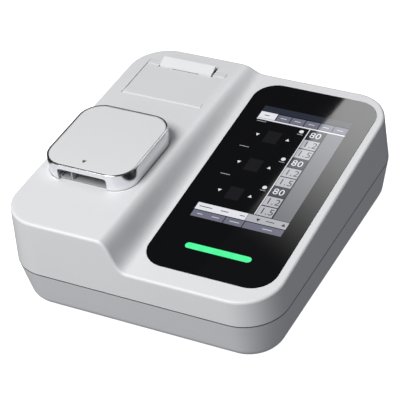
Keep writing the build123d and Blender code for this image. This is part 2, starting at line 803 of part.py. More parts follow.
with BuildPart() as bracket_screws:
    with BuildSketch(deck_plane.offset(-lcd_bottom - bracket_thickness)):
        with Locations(screen_centre):
            with GridLocations(lcd_width + 2 * bracket_boss_side, 2 * bracket_boss_half_pitch, 2, 2):
                Circle(small_head_radius)
    extrude(amount=-small_head_height)
    with BuildSketch(deck_plane.offset(-lcd_bottom - bracket_thickness)):
        with Locations(screen_centre):
            with GridLocations(lcd_width + 2 * bracket_boss_side, 2 * bracket_boss_half_pitch, 2, 2):
                Circle(small_screw_radius)
    extrude(amount=bracket_thickness + bracket_thread - thread_spare)
bracket_screws.part.label = "bracket_screws"
export_step(bracket_screws.part, "parts/bracket_screws.step")

# Light bar: a clear moulding up through the deck and the glass, with a flange under the deck
with BuildPart() as light_bar:
    with BuildSketch(deck_plane.offset(glass_proud)):
        with Locations(light_centre):
            SlotOverall(light_length, light_width)
    extrude(amount=-glass_proud - light_depth)
    with BuildSketch(deck_plane.offset(-wall)):
        with Locations(light_centre):
            SlotOverall(light_length + 2 * light_flange, light_width + 2 * light_flange)
    extrude(amount=-light_flange_thickness)
light_bar.part.label = "light_bar"
export_step(light_bar.part, "parts/light_bar.step")

# Lamp board under the light bar, with a row of lamps
with BuildPart() as lamp_board:
    with BuildSketch(deck_plane.offset(-lamp_board_drop)):
        with Locations(light_centre):
            RectangleRounded(lamp_board_length, lamp_board_width, lamp_board_corner)
            with GridLocations(lamp_screw_pitch, 1, 2, 1):
                Circle(lamp_screw_radius + socket_gap, mode=Mode.SUBTRACT)
    extrude(amount=-lamp_board_thickness)
    with BuildSketch(deck_plane.offset(-lamp_board_drop)):
        with Locations(light_centre):
            with GridLocations(light_length / lamp_count, 1, lamp_count, 1):
                Rectangle(*lamp_size)
    extrude(amount=lamp_board_drop - light_depth - lamp_clearance)
lamp_board.part.label = "lamp_board"
export_step(lamp_board.part, "parts/lamp_board.step")

with BuildPart() as lamp_screws:
    with BuildSketch(deck_plane.offset(-lamp_board_drop - lamp_board_thickness)):
        with Locations(light_centre):
            with GridLocations(lamp_screw_pitch, 1, 2, 1):
                Circle(lamp_head_radius)
    extrude(amount=-lamp_head_height)
    with BuildSketch(deck_plane.offset(-lamp_board_drop - lamp_board_thickness)):
        with Locations(light_centre):
            with GridLocations(lamp_screw_pitch, 1, 2, 1):
                Circle(lamp_screw_radius)
    extrude(amount=lamp_board_thickness + lamp_thread - thread_spare)
lamp_screws.part.label = "lamp_screws"
export_step(lamp_screws.part, "parts/lamp_screws.step")

# Card module: a bright band round a white body, with a flat cover let into its top
with BuildPart() as module_band:
    with BuildSketch(Plane.XY.offset(band_bottom)):
        with Locations(module_centre):
            RectangleRounded(module_width, module_depth, module_radius)
    extrude(amount=module_top - band_bottom)
    fillet(module_band.faces().sort_by(Axis.Z)[-1].edges(), band_round)
    with BuildSketch(Plane.XY.offset(band_bottom)):
        with Locations(module_centre):
            RectangleRounded(
                module_width - 2 * band_thickness,
                module_depth - 2 * band_thickness,
                module_radius - band_thickness,
            )
    extrude(amount=module_top - band_bottom, mode=Mode.SUBTRACT)
    # The slot: open at the bottom, with rounded upper corners
    with BuildSketch(Plane.XZ.offset(-module_front + cut_past)):
        patch((slot_left, band_bottom - cut_past), (slot_right, slot_ceiling_z - slot_corner))
        patch(
            (slot_left + slot_corner, slot_ceiling_z - 2 * slot_corner),
            (slot_right - slot_corner, slot_ceiling_z),
        )
        with Locations(((slot_left + slot_right) / 2, slot_ceiling_z - slot_corner)):
            with GridLocations(slot_width - 2 * slot_corner, 1, 2, 1):
                Circle(slot_corner)
    extrude(amount=-band_thickness - 2 * cut_past, mode=Mode.SUBTRACT)
module_band.part.label = "module_band"
export_step(module_band.part, "parts/module_band.step")

body_inset = band_thickness + module_clearance
head_centre = (carriage_x, module_back - band_thickness - module_rear_wall - head_side / 2 - head_rear_gap)
with BuildPart() as module_body:
    with BuildSketch(Plane.XY.offset(band_bottom)):
        with Locations(module_centre):
            RectangleRounded(
                module_width - 2 * body_inset, module_depth - 2 * body_inset, module_radius - body_inset
            )
    extrude(amount=cover_bottom - band_bottom)
    # Card channel, from the front to the rear wall and open below for the carriage
    channel_length = module_depth - body_inset - module_rear_wall
    with BuildSketch(Plane.XY.offset(band_bottom)):
        with Locations(((slot_left + slot_right) / 2, module_front + channel_length / 2)):
            Rectangle(slot_right - slot_left, channel_length)
    extrude(amount=slot_ceiling_z - band_bottom, mode=Mode.SUBTRACT)
    # Rib that parts the narrow lane from the card's lane, clear of the carriage under it
    rib_bottom = slot_floor_z + carriage_clearance
    with BuildSketch(Plane.XY.offset(slot_ceiling_z)):
        with Locations((rib_x, module_front + body_inset + rib_length / 2)):
            Rectangle(rib_thickness, rib_length)
    extrude(amount=rib_bottom - slot_ceiling_z)
    # Window for the reader head
    with BuildSketch(Plane.XY.offset(slot_ceiling_z)):
        with Locations(head_centre):
            Rectangle(head_side + 2 * head_clearance, head_side + 2 * head_clearance)
    extrude(amount=cover_bottom - slot_ceiling_z, mode=Mode.SUBTRACT)
module_body.part.label = "module_body"
export_step(module_body.part, "parts/module_body.step")

with BuildPart() as module_cover:
    cover_inset = band_thickness + cover_gap
    with BuildSketch(Plane.XY.offset(cover_bottom)):
        with Locations(module_centre):
            RectangleRounded(
                module_width - 2 * cover_inset, module_depth - 2 * cover_inset, module_radius - cover_inset
            )
    extrude(amount=cover_thickness)
    chamfer(module_cover.faces().sort_by(Axis.Z)[-1].edges(), cover_chamfer)
module_cover.part.label = "module_cover"
export_step(module_cover.part, "parts/module_cover.step")

# Reader head: an optical block with a lens barrel that looks down at the card
head_bottom = slot_ceiling_z - head_height
with BuildPart() as reader_head:
    with BuildSketch(Plane.XY.offset(slot_ceiling_z)):
        with Locations(head_centre):
            Rectangle(head_side, head_side)
    extrude(amount=cover_bottom - slot_ceiling_z - head_clearance)
    with BuildSketch(Plane.XY.offset(slot_ceiling_z)):
        with Locations(head_centre):
            Rectangle(head_side + 2 * head_flange[0], head_side)
    extrude(amount=-head_flange[1])
    with BuildSketch(Plane.XY.offset(slot_ceiling_z)):
        with Locations(head_centre):
            Rectangle(head_side - 2 * head_step, head_side - 2 * head_step)
    extrude(amount=lens_length - head_height)
    with BuildSketch(Plane.XY.offset(head_bottom)):
        with Locations(head_centre):
            Circle(lens_radius)
            Circle(lens_radius - lens_wall, mode=Mode.SUBTRACT)
    extrude(amount=lens_length)
reader_head.part.label = "reader_head"
export_step(reader_head.part, "parts/reader_head.step")

# Card carriage: a tray with a card recess, on a foot that reaches down to the rods and the screw
carriage_bottom = slot_floor_z - carriage_plate
with BuildPart() as card_carriage:
    with BuildSketch(Plane.XY.offset(carriage_bottom)):
        with Locations((carriage_x, carriage_front + carriage_length / 2)):
            Rectangle(carriage_width, carriage_length)
    extrude(amount=carriage_plate)
    card_lane_x = (rib_x + rib_thickness / 2 + slot_right) / 2
    with BuildSketch(Plane.XY.offset(slot_floor_z)):
        with Locations((card_lane_x, carriage_front + (carriage_length - card_stop) / 2)):
            Rectangle(card_width, carriage_length - card_stop)
    extrude(amount=-card_recess, mode=Mode.SUBTRACT)
    with BuildSketch(Plane.XY.offset(slot_floor_z)):
        with Locations((carriage_x, carriage_front + carriage_length / 2)):
            with GridLocations(carriage_width - carriage_lip, 1, 2, 1):
                Rectangle(carriage_lip, carriage_length)
        with Locations((carriage_x, carriage_front + carriage_length - card_stop / 2)):
            Rectangle(carriage_width, card_stop)
    extrude(amount=carriage_lip)
    with BuildSketch(Plane.XY.offset(carriage_bottom)):
        with Locations((carriage_x, (block_front + block_back) / 2)):
            Rectangle(foot_web_width, block_length)
    extrude(amount=screw_axis_z - carriage_bottom)
    with BuildSketch(Plane.XZ.offset(-block_front)):
        with Locations((carriage_x, screw_axis_z + rod_rise / 2)):
            RectangleRounded(2 * (rod_spread + block_side), block_height, block_corner)
    extrude(amount=-block_length)
    with BuildSketch(Plane.XZ.offset(-block_front)):
        with Locations((carriage_x, rod_z)):
            with GridLocations(2 * rod_spread, 1, 2, 1):
                Circle(rod_radius + rod_fit)
        with Locations((carriage_x, screw_axis_z)):
            Circle(nut_radius + rod_fit)
    extrude(amount=-block_length, mode=Mode.SUBTRACT)
card_carriage.part.label = "card_carriage"
export_step(card_carriage.part, "parts/card_carriage.step")

with BuildPart() as drive_nut:
    with BuildSketch(Plane.XZ.offset(-block_front)):
        with Locations((carriage_x, screw_axis_z)):
            Circle(nut_radius)
    extrude(amount=-block_length)
    with BuildSketch(Plane.XZ.offset(-block_front)):
        with Locations((carriage_x, screw_axis_z)):
            Circle(nut_flange_radius)
    extrude(amount=nut_flange_thickness)
    with BuildSketch(Plane.XZ.offset(-block_front + nut_flange_thickness)):
        with Locations((carriage_x, screw_axis_z)):
            Circle(lead_screw_radius + rod_fit)
    extrude(amount=-block_length - nut_flange_thickness, mode=Mode.SUBTRACT)
drive_nut.part.label = "drive_nut"
export_step(drive_nut.part, "parts/drive_nut.step")

# Carriage frame: a bent channel under the flat top that holds the rods, the screw and the motor
frame_floor_z = screw_axis_z - frame_drop
tab_places = [
    (carriage_x + side * (frame_half_width - frame_tab_width / 2), y)
    for side in (-1, 1)
    for y in (frame_front - frame_tab / 2, frame_back + frame_tab / 2)
]
with BuildPart() as carriage_frame:
    with BuildSketch(Plane.YZ.offset(carriage_x - frame_half_width)):
        with BuildLine():
            Polyline(
                (frame_front, hump_underside),
                (frame_front, frame_floor_z),
                (frame_back, frame_floor_z),
                (frame_back, hump_underside),
                (frame_back - frame_sheet, hump_underside),
                (frame_back - frame_sheet, frame_floor_z + frame_sheet),
                (frame_front + frame_sheet, frame_floor_z + frame_sheet),
                (frame_front + frame_sheet, hump_underside),
                close=True,
            )
        make_face()
    extrude(amount=2 * frame_half_width)
    fillet(carriage_frame.edges().filter_by(Axis.X).group_by(Axis.Z)[0], frame_bend)
    with BuildSketch(Plane.XY.offset(hump_underside)):
        with Locations(*tab_places):
            Rectangle(frame_tab_width, frame_tab)
            Circle(small_pass_radius, mode=Mode.SUBTRACT)
    extrude(amount=-frame_sheet)
    with BuildSketch(Plane.XZ.offset(-frame_front)):
        with Locations((carriage_x, rod_z)):
            with GridLocations(2 * rod_spread, 1, 2, 1):
                Circle(rod_radius + rod_fit)
        with Locations((carriage_x, screw_axis_z)):
            Circle(lead_screw_radius + rod_fit)
    extrude(amount=frame_front - frame_back, mode=Mode.SUBTRACT)
carriage_frame.part.label = "carriage_frame"
export_step(carriage_frame.part, "parts/carriage_frame.step")

with BuildPart() as guide_rods:
    with BuildSketch(Plane.XZ.offset(-frame_front)):
        with Locations((carriage_x, rod_z)):
            with GridLocations(2 * rod_spread, 1, 2, 1):
                Circle(rod_radius)
    extrude(amount=frame_front - frame_back)
guide_rods.part.label = "guide_rods"
export_step(guide_rods.part, "parts/guide_rods.step")

with BuildPart() as lead_screw:
    with BuildSketch(Plane.XZ.offset(-frame_front)):
        with Locations((carriage_x, screw_axis_z)):
            Circle(lead_screw_radius)
    extrude(amount=frame_front - frame_back)
lead_screw.part.label = "lead_screw"
export_step(lead_screw.part, "parts/lead_screw.step")

# Carriage motor: a small square stepper, with end bells round its laminations
with BuildPart() as carriage_motor:
    with BuildSketch(Plane.XZ.offset(-frame_back)):
        with Locations((carriage_x, screw_axis_z)):
            RectangleRounded(drive_motor_side, drive_motor_side, motor_corner)
    extrude(amount=-drive_motor_length)
    with BuildSketch(Plane.XZ.offset(-frame_back - motor_bell)):
        with Locations((carriage_x, screw_axis_z)):
            Rectangle(drive_motor_side + cut_past, drive_motor_side + cut_past)
            motor_waist = drive_motor_side - 2 * motor_step
            RectangleRounded(motor_waist, motor_waist, motor_corner, mode=Mode.SUBTRACT)
    extrude(amount=2 * motor_bell - drive_motor_length, mode=Mode.SUBTRACT)
carriage_motor.part.label = "carriage_motor"
export_step(carriage_motor.part, "parts/carriage_motor.step")

with BuildPart() as frame_screws:
    with BuildSketch(Plane.XY.offset(hump_underside - frame_sheet)):
        with Locations(*tab_places):
            Circle(small_head_radius)
    extrude(amount=-small_head_height)
    with BuildSketch(Plane.XY.offset(hump_underside - frame_sheet)):
        with Locations(*tab_places):
            Circle(small_screw_radius)
    extrude(amount=frame_sheet)
frame_screws.part.label = "frame_screws"
export_step(frame_screws.part, "parts/frame_screws.step")

# Printer door: a lid rolled round its hinge pin, with a sunk panel and cheeks that hold the platen
cheek_low_z = platen_centre[1] - cheek_drop
catch_back = notch_front - catch_setback
with BuildPart() as printer_door:
    with BuildSketch(Plane.YZ.offset(door_left)):
        with Locations((hinge_y, hinge_z)):
            Circle(hinge_radius)
        with Locations(((hinge_y + door_rear) / 2, hump_z - door_thickness / 2)):
            Rectangle(door_rear - hinge_y, door_thickness)
    extrude(amount=door_width)
    with BuildSketch(Plane.XY.offset(hump_z)):
        with Locations((printer_x, (door_front + door_ridge_front + door_rear - door_ridge_rear) / 2)):
            Rectangle(door_width, door_rear - door_ridge_rear - door_front - door_ridge_front)
    extrude(amount=-door_panel_drop, mode=Mode.SUBTRACT)
    with BuildSketch(Plane.XY.offset(hump_z)):
        patch((printer_x - notch_half, notch_front), (printer_x + notch_half, door_rear + cut_past))
    extrude(amount=-door_thickness - cut_past, mode=Mode.SUBTRACT)
    for side in (-1, 1):
        inner = printer_x + side * cheek_offset
        with BuildSketch(Plane.YZ.offset(inner)):
            with BuildLine():
                Polyline(
                    (platen_centre[0] - cheek_root, door_underside),
                    (platen_centre[0] - cheek_tip, cheek_low_z),
                    (platen_centre[0] + cheek_tip, cheek_low_z),
                    (platen_centre[0] + cheek_root, door_underside),
                    close=True,
                )
            make_face()
        extrude(amount=side * cheek_thickness)
    # Catches behind the platen, with a notch for the latch's nose
    with BuildSketch(Plane.YZ.offset(printer_x - latch_width / 2)):
        with BuildLine():
            Polyline(
                (catch_back - catch_depth, door_underside),
                (catch_back - catch_depth, platen_centre[1] - catch_drop),
                (catch_back, platen_centre[1] - catch_drop),
                (catch_back, platen_centre[1] - catch_notch[0]),
                (catch_back - catch_notch[0], platen_centre[1]),
                (catch_back - catch_notch[0], platen_centre[1] + catch_notch[1]),
                (catch_back, platen_centre[1] + catch_notch[0] + catch_notch[1]),
                (catch_back, door_underside),
                close=True,
            )
        make_face()
    extrude(amount=catch_width)
    mirror(about=Plane.YZ.offset(printer_x))
    with BuildSketch(Plane.YZ.offset(door_left)):
        with Locations((hinge_y, hinge_z)):
            Circle(hinge_pin_radius + hinge_pin_fit)
    extrude(amount=door_width, mode=Mode.SUBTRACT)
    with BuildSketch(Plane.YZ.offset(printer_x - cheek_offset - cheek_thickness)):
        with Locations(platen_centre):
            Circle(platen_shaft_radius + rod_fit)
    extrude(amount=2 * (cheek_offset + cheek_thickness), mode=Mode.SUBTRACT)
printer_door.part.label = "printer_door"
export_step(printer_door.part, "parts/printer_door.step")

with BuildPart() as door_hinge_pin:
    with BuildSketch(Plane.YZ.offset(door_left - door_gap - hinge_pin_seat)):
        with Locations((hinge_y, hinge_z)):
            Circle(hinge_pin_radius)
    extrude(amount=door_width + 2 * (door_gap + hinge_pin_seat))
door_hinge_pin.part.label = "door_hinge_pin"
export_step(door_hinge_pin.part, "parts/door_hinge_pin.step")

# Platen: a rubber sleeve on a steel shaft, with a toothed wheel on the shaft's end
shaft_end = cheek_offset + cheek_thickness + gear_gap
with BuildPart() as platen_shaft:
    with BuildSketch(Plane.YZ.offset(printer_x - shaft_end)):
        with Locations(platen_centre):
            Circle(platen_shaft_radius)
    extrude(amount=2 * shaft_end + gear_width)
platen_shaft.part.label = "platen_shaft"
export_step(platen_shaft.part, "parts/platen_shaft.step")

with BuildPart() as platen_sleeve:
    with BuildSketch(Plane.YZ.offset(printer_x - platen_length / 2)):
        with Locations(platen_centre):
            Circle(platen_radius)
            Circle(platen_shaft_radius, mode=Mode.SUBTRACT)
    extrude(amount=platen_length)
platen_sleeve.part.label = "platen_sleeve"
export_step(platen_sleeve.part, "parts/platen_sleeve.step")

gear_x = printer_x + shaft_end
with BuildPart() as platen_gear:
    with BuildSketch(Plane.YZ.offset(gear_x)):
        with Locations(platen_centre):
            gear_outline(platen_gear_teeth, 0)
            Circle(platen_shaft_radius, mode=Mode.SUBTRACT)
    extrude(amount=gear_width)
platen_gear.part.label = "platen_gear"
export_step(platen_gear.part, "parts/platen_gear.step")

# Paper roll, lying in the trough
with BuildPart() as paper_roll:
    with BuildSketch(Plane.YZ.offset(printer_x - paper_width / 2)):
        with Locations((trough_centre[0], paper_z)):
            Circle(paper_radius)
            Circle(core_radius, mode=Mode.SUBTRACT)
    extrude(amount=paper_width)
paper_roll.part.label = "paper_roll"
export_step(paper_roll.part, "parts/paper_roll.step")

# Printer frame: a trough for the roll, a shelf and ears behind it for the latch, and end plates
outer_radius = trough_radius + trough_wall
shelf_z = platen_centre[1] - shelf_drop
shelf_wall_y = latch_pivot[0] - shelf_setback
trough_step_y = trough_y + trough_radius - trough_wall / 2
with BuildPart() as printer_frame:
    with BuildSketch(Plane.YZ.offset(printer_x - cheek_offset - cheek_thickness)):
        with Locations(trough_centre):
            Circle(outer_radius)
        patch((trough_y - outer_radius, trough_z), (trough_y + outer_radius, hump_underside))
        patch(
            (trough_y - trough_radius, trough_z),
            (trough_y + outer_radius + cut_past, hump_underside + cut_past),
            Mode.SUBTRACT,
        )
        with Locations(trough_centre):
            Circle(trough_radius, mode=Mode.SUBTRACT)
        patch(
            (trough_y - outer_radius - frame_tab, hump_underside - frame_sheet),
            (trough_y - outer_radius, hump_underside),
        )
        # Behind the roll: a step up to the print head's wall, then a shelf under the latch
        patch((trough_step_y, trough_z - trough_wall), (shelf_wall_y + trough_wall, trough_z))
        patch((shelf_wall_y, trough_z), (shelf_wall_y + trough_wall, shelf_z))
        patch((shelf_wall_y, shelf_z - trough_wall), (latch_recess_back + trough_wall, shelf_z))
        patch((latch_recess_back, shelf_z), (latch_recess_back + trough_wall, hump_underside))
        patch(
            (latch_recess_back + trough_wall, hump_underside - frame_sheet),
            (latch_recess_back + frame_tab, hump_underside),
        )
    extrude(amount=2 * (cheek_offset + cheek_thickness))
    for side in (-1, 1):
        with BuildSketch(Plane.YZ.offset(printer_x + side * cheek_offset)):
            with Locations(trough_centre):
                Circle(outer_radius)
            patch(
                (trough_y - outer_radius, trough_z),
                (trough_y + outer_radius, trough_z + outer_radius),
                Mode.SUBTRACT,
            )
            patch(
                (trough_y - outer_radius, trough_z),
                (platen_centre[0] - end_plate_reach, hinge_z - hinge_radius - end_plate_clearance),
            )
            patch((trough_y, trough_z), (shelf_wall_y + trough_wall, shelf_z))
            patch((trough_step_y, trough_z - trough_wall), (shelf_wall_y + trough_wall, trough_z))
        extrude(amount=side * cheek_thickness)
    # Ears for the latch pin
    for side in (-1, 1):
        with BuildSketch(Plane.YZ.offset(printer_x + side * ear_offset - ear_width / 2)):
            with BuildLine():
                ear_front = (latch_pivot[0] - ear_half, latch_pivot[1])
                ear_back = (latch_pivot[0] + ear_half, latch_pivot[1])
                Polyline(
                    ear_front,
                    (ear_front[0], shelf_z - trough_wall),
                    (latch_pivot[0] + ear_foot, shelf_z - trough_wall),
                    (latch_pivot[0] + ear_foot, shelf_z),
                    ear_back,
                )
                ThreePointArc(ear_back, (latch_pivot[0], latch_pivot[1] + ear_half), ear_front)
            make_face()
        extrude(amount=ear_width)
    with BuildSketch(Plane.YZ.offset(printer_x - ear_offset - ear_width)):
        with Locations(latch_pivot):
            Circle(latch_pin_radius)
    extrude(amount=2 * (ear_offset + ear_width), mode=Mode.SUBTRACT)
printer_frame.part.label = "printer_frame"
export_step(printer_frame.part, "parts/printer_frame.step")

# Print head: a slanted bar that meets the platen from below and behind, on a foot against the frame
with BuildPart() as print_head:
    with BuildSketch(Plane.YZ.offset(printer_x - print_head_width / 2)):
        with BuildLine():
            Polyline(
                *[(platen_centre[0] + along, platen_centre[1] + up) for along, up in print_head_bar],
                (shelf_wall_y - print_head_foot, trough_z + print_head_foot),
                (shelf_wall_y, trough_z + print_head_foot),
                (shelf_wall_y, platen_centre[1] - print_head_seat),
                close=True,
            )
        make_face()
    extrude(amount=print_head_width)
print_head.part.label = "print_head"
export_step(print_head.part, "parts/print_head.step")

# Latch lever: an inclined finger plate on a barrel, with a nose at each end that faces the door's catch
with BuildPart() as latch_lever:
    with BuildSketch(Plane.YZ.offset(printer_x - latch_width / 2)):
        with Locations(latch_pivot):
            Circle(latch_barrel)
        with BuildLine():
            Polyline(
                (latch_pivot[0] - latch_barrel, latch_pivot[1] + latch_lip),
                (latch_pivot[0] - latch_barrel + latch_lip, hump_z + latch_lip_rise),
                (latch_back_y, hump_z + latch_rise),
                (latch_back_y + latch_edge, hump_z + latch_rise - latch_plate),
                (latch_pivot[0] + latch_root[0], latch_pivot[1] + latch_root[1]),
                latch_pivot,
                close=True,
            )
        make_face()
    extrude(amount=latch_width)
    # Room for the frame's ears
    ear_room = ear_offset + ear_width / 2 + latch_ear_play
    with BuildSketch(Plane.YZ.offset(printer_x - ear_room)):
        with Locations((latch_pivot[0], latch_pivot[1] - latch_ear_room_drop)):
            Rectangle(*latch_ear_room)
    extrude(amount=2 * ear_room, mode=Mode.SUBTRACT)
    for side in (-1, 1):
        outer = printer_x + side * latch_width / 2
        with BuildSketch(Plane.YZ.offset(outer)):
            with BuildLine():
                Polyline(
                    (latch_pivot[0] - nose_front, latch_pivot[1]),
                    (latch_pivot[0] - nose_front, platen_centre[1] + nose_levels[0]),
                    (notch_front + nose_gap, platen_centre[1] + nose_levels[1]),
                    (notch_front + nose_gap, platen_centre[1] + nose_levels[2]),
                    (latch_pivot[0] + nose_back, platen_centre[1] + nose_levels[2]),
                    (latch_pivot[0] + nose_back, latch_pivot[1]),
                    close=True,
                )
            make_face()
        extrude(amount=-side * nose_width)
    with BuildSketch(Plane.YZ.offset(printer_x - latch_width / 2)):
        with Locations(latch_pivot):
            Circle(latch_pin_radius + hinge_pin_fit)
    extrude(amount=latch_width, mode=Mode.SUBTRACT)
latch_lever.part.label = "latch_lever"
export_step(latch_lever.part, "parts/latch_lever.step")

with BuildPart() as latch_pin:
    with BuildSketch(Plane.YZ.offset(printer_x - latch_width / 2)):
        with Locations(latch_pivot):
            Circle(latch_pin_radius)
    extrude(amount=latch_width)
latch_pin.part.label = "latch_pin"
export_step(latch_pin.part, "parts/latch_pin.step")

# Main board with its larger components
with BuildPart() as main_board:
    with BuildSketch(Plane.XY.offset(board_z)):
        with Locations(board_centre):
            RectangleRounded(board_width, board_length, board_corner)
        with Locations(*board_holes):
            Circle(small_pass_radius, mode=Mode.SUBTRACT)
    extrude(amount=board_thickness)
    with BuildSketch(Plane.XY.offset(socket_z)):
        for right, forward, width, depth in chips:
            with Locations((board_x[0] + right, board_y[1] - forward)):
                Rectangle(width, depth)
    extrude(amount=chip_height)
    with BuildSketch(Plane.XY.offset(socket_z)):
        for left, forward in capacitors:
            with Locations((board_x[1] - left, board_y[1] - forward)):
                Circle(capacitor_radius)
    extrude(amount=capacitor_height)
    with BuildSketch(Plane.XY.offset(socket_z)):
        with Locations((board_x[1] - coil_place[0], board_y[1] - coil_place[1])):
            Circle(coil_radius)
    extrude(amount=coil_height)
main_board.part.label = "main_board"
export_step(main_board.part, "parts/main_board.step")

with BuildPart() as board_screws:
    with BuildSketch(Plane.XY.offset(socket_z)):
        with Locations(*board_holes):
            Circle(small_head_radius)
    extrude(amount=small_head_height)
    with BuildSketch(Plane.XY.offset(socket_z)):
        with Locations(*board_holes):
            Circle(small_screw_radius)
    extrude(amount=-board_thickness - board_screw_thread)
board_screws.part.label = "board_screws"
export_step(board_screws.part, "parts/board_screws.step")

# Sockets on the board's rear edge, through the panel
with BuildPart() as network_socket:
    with BuildSketch(Plane.XZ.offset(-panel_face_y)):
        with Locations((network_x, socket_z + network_size[2] / 2)):
            Rectangle(network_size[0], network_size[2])
    extrude(amount=network_size[1])
    with BuildSketch(Plane.XZ.offset(-panel_face_y)):
        with Locations((network_x, socket_z + network_size[2] / 2)):
            Rectangle(network_mouth[0], network_mouth[2])
    extrude(amount=network_mouth[1], mode=Mode.SUBTRACT)
network_socket.part.label = "network_socket"
export_step(network_socket.part, "parts/network_socket.step")

with BuildPart() as usb_sockets:
    with BuildSketch(Plane.XZ.offset(-panel_face_y)):
        for usb_x in usb_places:
            with Locations((usb_x, socket_z + usb_size[2] / 2)):
                Rectangle(usb_size[0], usb_size[2])
    extrude(amount=usb_size[1])
    with BuildSketch(Plane.XZ.offset(-panel_face_y)):
        for usb_x in usb_places:
            with Locations((usb_x, socket_z + usb_size[2] / 2)):
                Rectangle(usb_size[0] - 2 * usb_wall, usb_size[2] - 2 * usb_wall)
            with Locations((usb_x, socket_z + usb_size[2] - usb_wall - usb_tongue[2])):
                Rectangle(usb_size[0] - 2 * usb_tongue[0], usb_tongue[1], mode=Mode.SUBTRACT)
    extrude(amount=usb_depth, mode=Mode.SUBTRACT)
usb_sockets.part.label = "usb_sockets"
export_step(usb_sockets.part, "parts/usb_sockets.step")

with BuildPart() as power_inlet:
    with BuildSketch(Plane.XZ.offset(-panel_face_y + panel_thickness)):
        with Locations((inlet_x, socket_z + inlet_block[2] / 2)):
            Rectangle(inlet_block[0], inlet_block[2])
    extrude(amount=inlet_block[1])
    with BuildSketch(Plane.XZ.offset(-panel_face_y)):
        with Locations((inlet_x, inlet_z)):
            Circle(inlet_radius)
    extrude(amount=panel_thickness)
    with BuildSketch(Plane.XZ.offset(-panel_face_y)):
        with Locations((inlet_x, inlet_z)):
            Circle(inlet_radius - inlet_wall)
            Circle(inlet_pin_radius, mode=Mode.SUBTRACT)
    extrude(amount=inlet_depth, mode=Mode.SUBTRACT)
power_inlet.part.label = "power_inlet"
export_step(power_inlet.part, "parts/power_inlet.step")

# Rocker switch: a bezel and body through the panel, and a rocker on two stub pins
pivot_y = panel_face_y - switch_pivot_depth
with BuildPart() as switch_housing:
    with BuildSketch(Plane.XZ.offset(-panel_face_y)):
        with Locations((switch_x, panel_mid_z)):
            RectangleRounded(switch_bezel[0], switch_bezel[2], switch_corner)
    extrude(amount=-switch_bezel[1])
    with BuildSketch(Plane.XZ.offset(-panel_face_y)):
        with Locations((switch_x, panel_mid_z)):
            Rectangle(switch_body[0], switch_body[2])
    extrude(amount=switch_body[1])
    with BuildSketch(Plane.XZ.offset(-panel_face_y - switch_bezel[1])):
        with Locations((switch_x, panel_mid_z)):
            Rectangle(rocker_length + 2 * rocker_end_gap, rocker_width + 2 * rocker_side_gap)
    extrude(amount=switch_cavity, mode=Mode.SUBTRACT)
    pin_room = rocker_pin_length + 0.2
    with BuildSketch(Plane.XY.offset(panel_mid_z - rocker_width / 2 - pin_room)):
        with Locations((switch_x, pivot_y)):
            Circle(rocker_pin_radius + rocker_pin_fit)
    extrude(amount=rocker_width + 2 * pin_room, mode=Mode.SUBTRACT)
switch_housing.part.label = "switch_housing"
export_step(switch_housing.part, "parts/switch_housing.step")

rocker_angle = math.radians(rocker_tilt)
rocker_plane = Plane(
    origin=(switch_x, pivot_y, panel_mid_z - rocker_width / 2),
    x_dir=(math.cos(rocker_angle), -math.sin(rocker_angle), 0),
    z_dir=(0, 0, 1),
)
with BuildPart() as switch_rocker:
    with BuildSketch(rocker_plane):
        with BuildLine():
            Polyline(
                (-rocker_length / 2, 0),
                (-rocker_length / 2, rocker_end_height),
                (0, rocker_waist_height),
                (rocker_length / 2, rocker_end_height),
                (rocker_length / 2, 0),
                (rocker_length / 5, -rocker_depth),
                (-rocker_length / 5, -rocker_depth),
                close=True,
            )
        make_face()
    extrude(amount=rocker_width)
    with BuildSketch(Plane.XY.offset(panel_mid_z - rocker_width / 2 - rocker_pin_length)):
        with Locations((switch_x, pivot_y)):
            Circle(rocker_pin_radius)
    extrude(amount=rocker_width + 2 * rocker_pin_length)
switch_rocker.part.label = "switch_rocker"
export_step(switch_rocker.part, "parts/switch_rocker.step")
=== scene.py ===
import bpy
import math
from mathutils import Matrix, Vector


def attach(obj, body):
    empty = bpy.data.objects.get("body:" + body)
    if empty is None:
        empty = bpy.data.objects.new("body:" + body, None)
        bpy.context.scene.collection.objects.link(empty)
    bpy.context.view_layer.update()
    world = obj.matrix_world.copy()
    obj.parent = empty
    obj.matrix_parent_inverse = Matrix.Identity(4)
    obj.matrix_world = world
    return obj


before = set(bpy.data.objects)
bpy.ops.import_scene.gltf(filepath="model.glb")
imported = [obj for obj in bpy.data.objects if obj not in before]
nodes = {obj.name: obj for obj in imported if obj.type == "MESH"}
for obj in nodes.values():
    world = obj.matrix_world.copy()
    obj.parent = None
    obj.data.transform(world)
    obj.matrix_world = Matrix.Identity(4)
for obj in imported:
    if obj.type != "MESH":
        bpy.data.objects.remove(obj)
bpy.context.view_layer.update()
print("frame loaded:", len(nodes), "nodes")

mm = 0.001

# the display deck as the casing has it: its height at the middle of the body, and its rise to the back
deck = {"height": 81.5, "tilt": math.radians(4.4), "glassProud": 0.2}

# the seam between the casings: its middle, and how far its painted shade goes, 0.2 mm past each edge
seam = {"height": 45.0, "reach": 0.5}


def toDeck(lift=0.0):
    normal = Vector((0, -math.sin(deck["tilt"]), math.cos(deck["tilt"])))
    origin = Vector((0, 0, deck["height"])) + normal * (deck["glassProud"] + lift)
    return Matrix.Translation(origin * mm) @ Matrix.Rotation(deck["tilt"], 4, "X")


# shader groups that several finishes share
def newGroup(name, inputs, outputs):
    group = bpy.data.node_groups.new(name, "ShaderNodeTree")
    for label, kind, value in inputs:
        group.interface.new_socket(name=label, in_out="INPUT", socket_type=kind).default_value = value
    for label, kind in outputs:
        group.interface.new_socket(name=label, in_out="OUTPUT", socket_type=kind)
    return group, group.nodes.new("NodeGroupInput"), group.nodes.new("NodeGroupOutput")


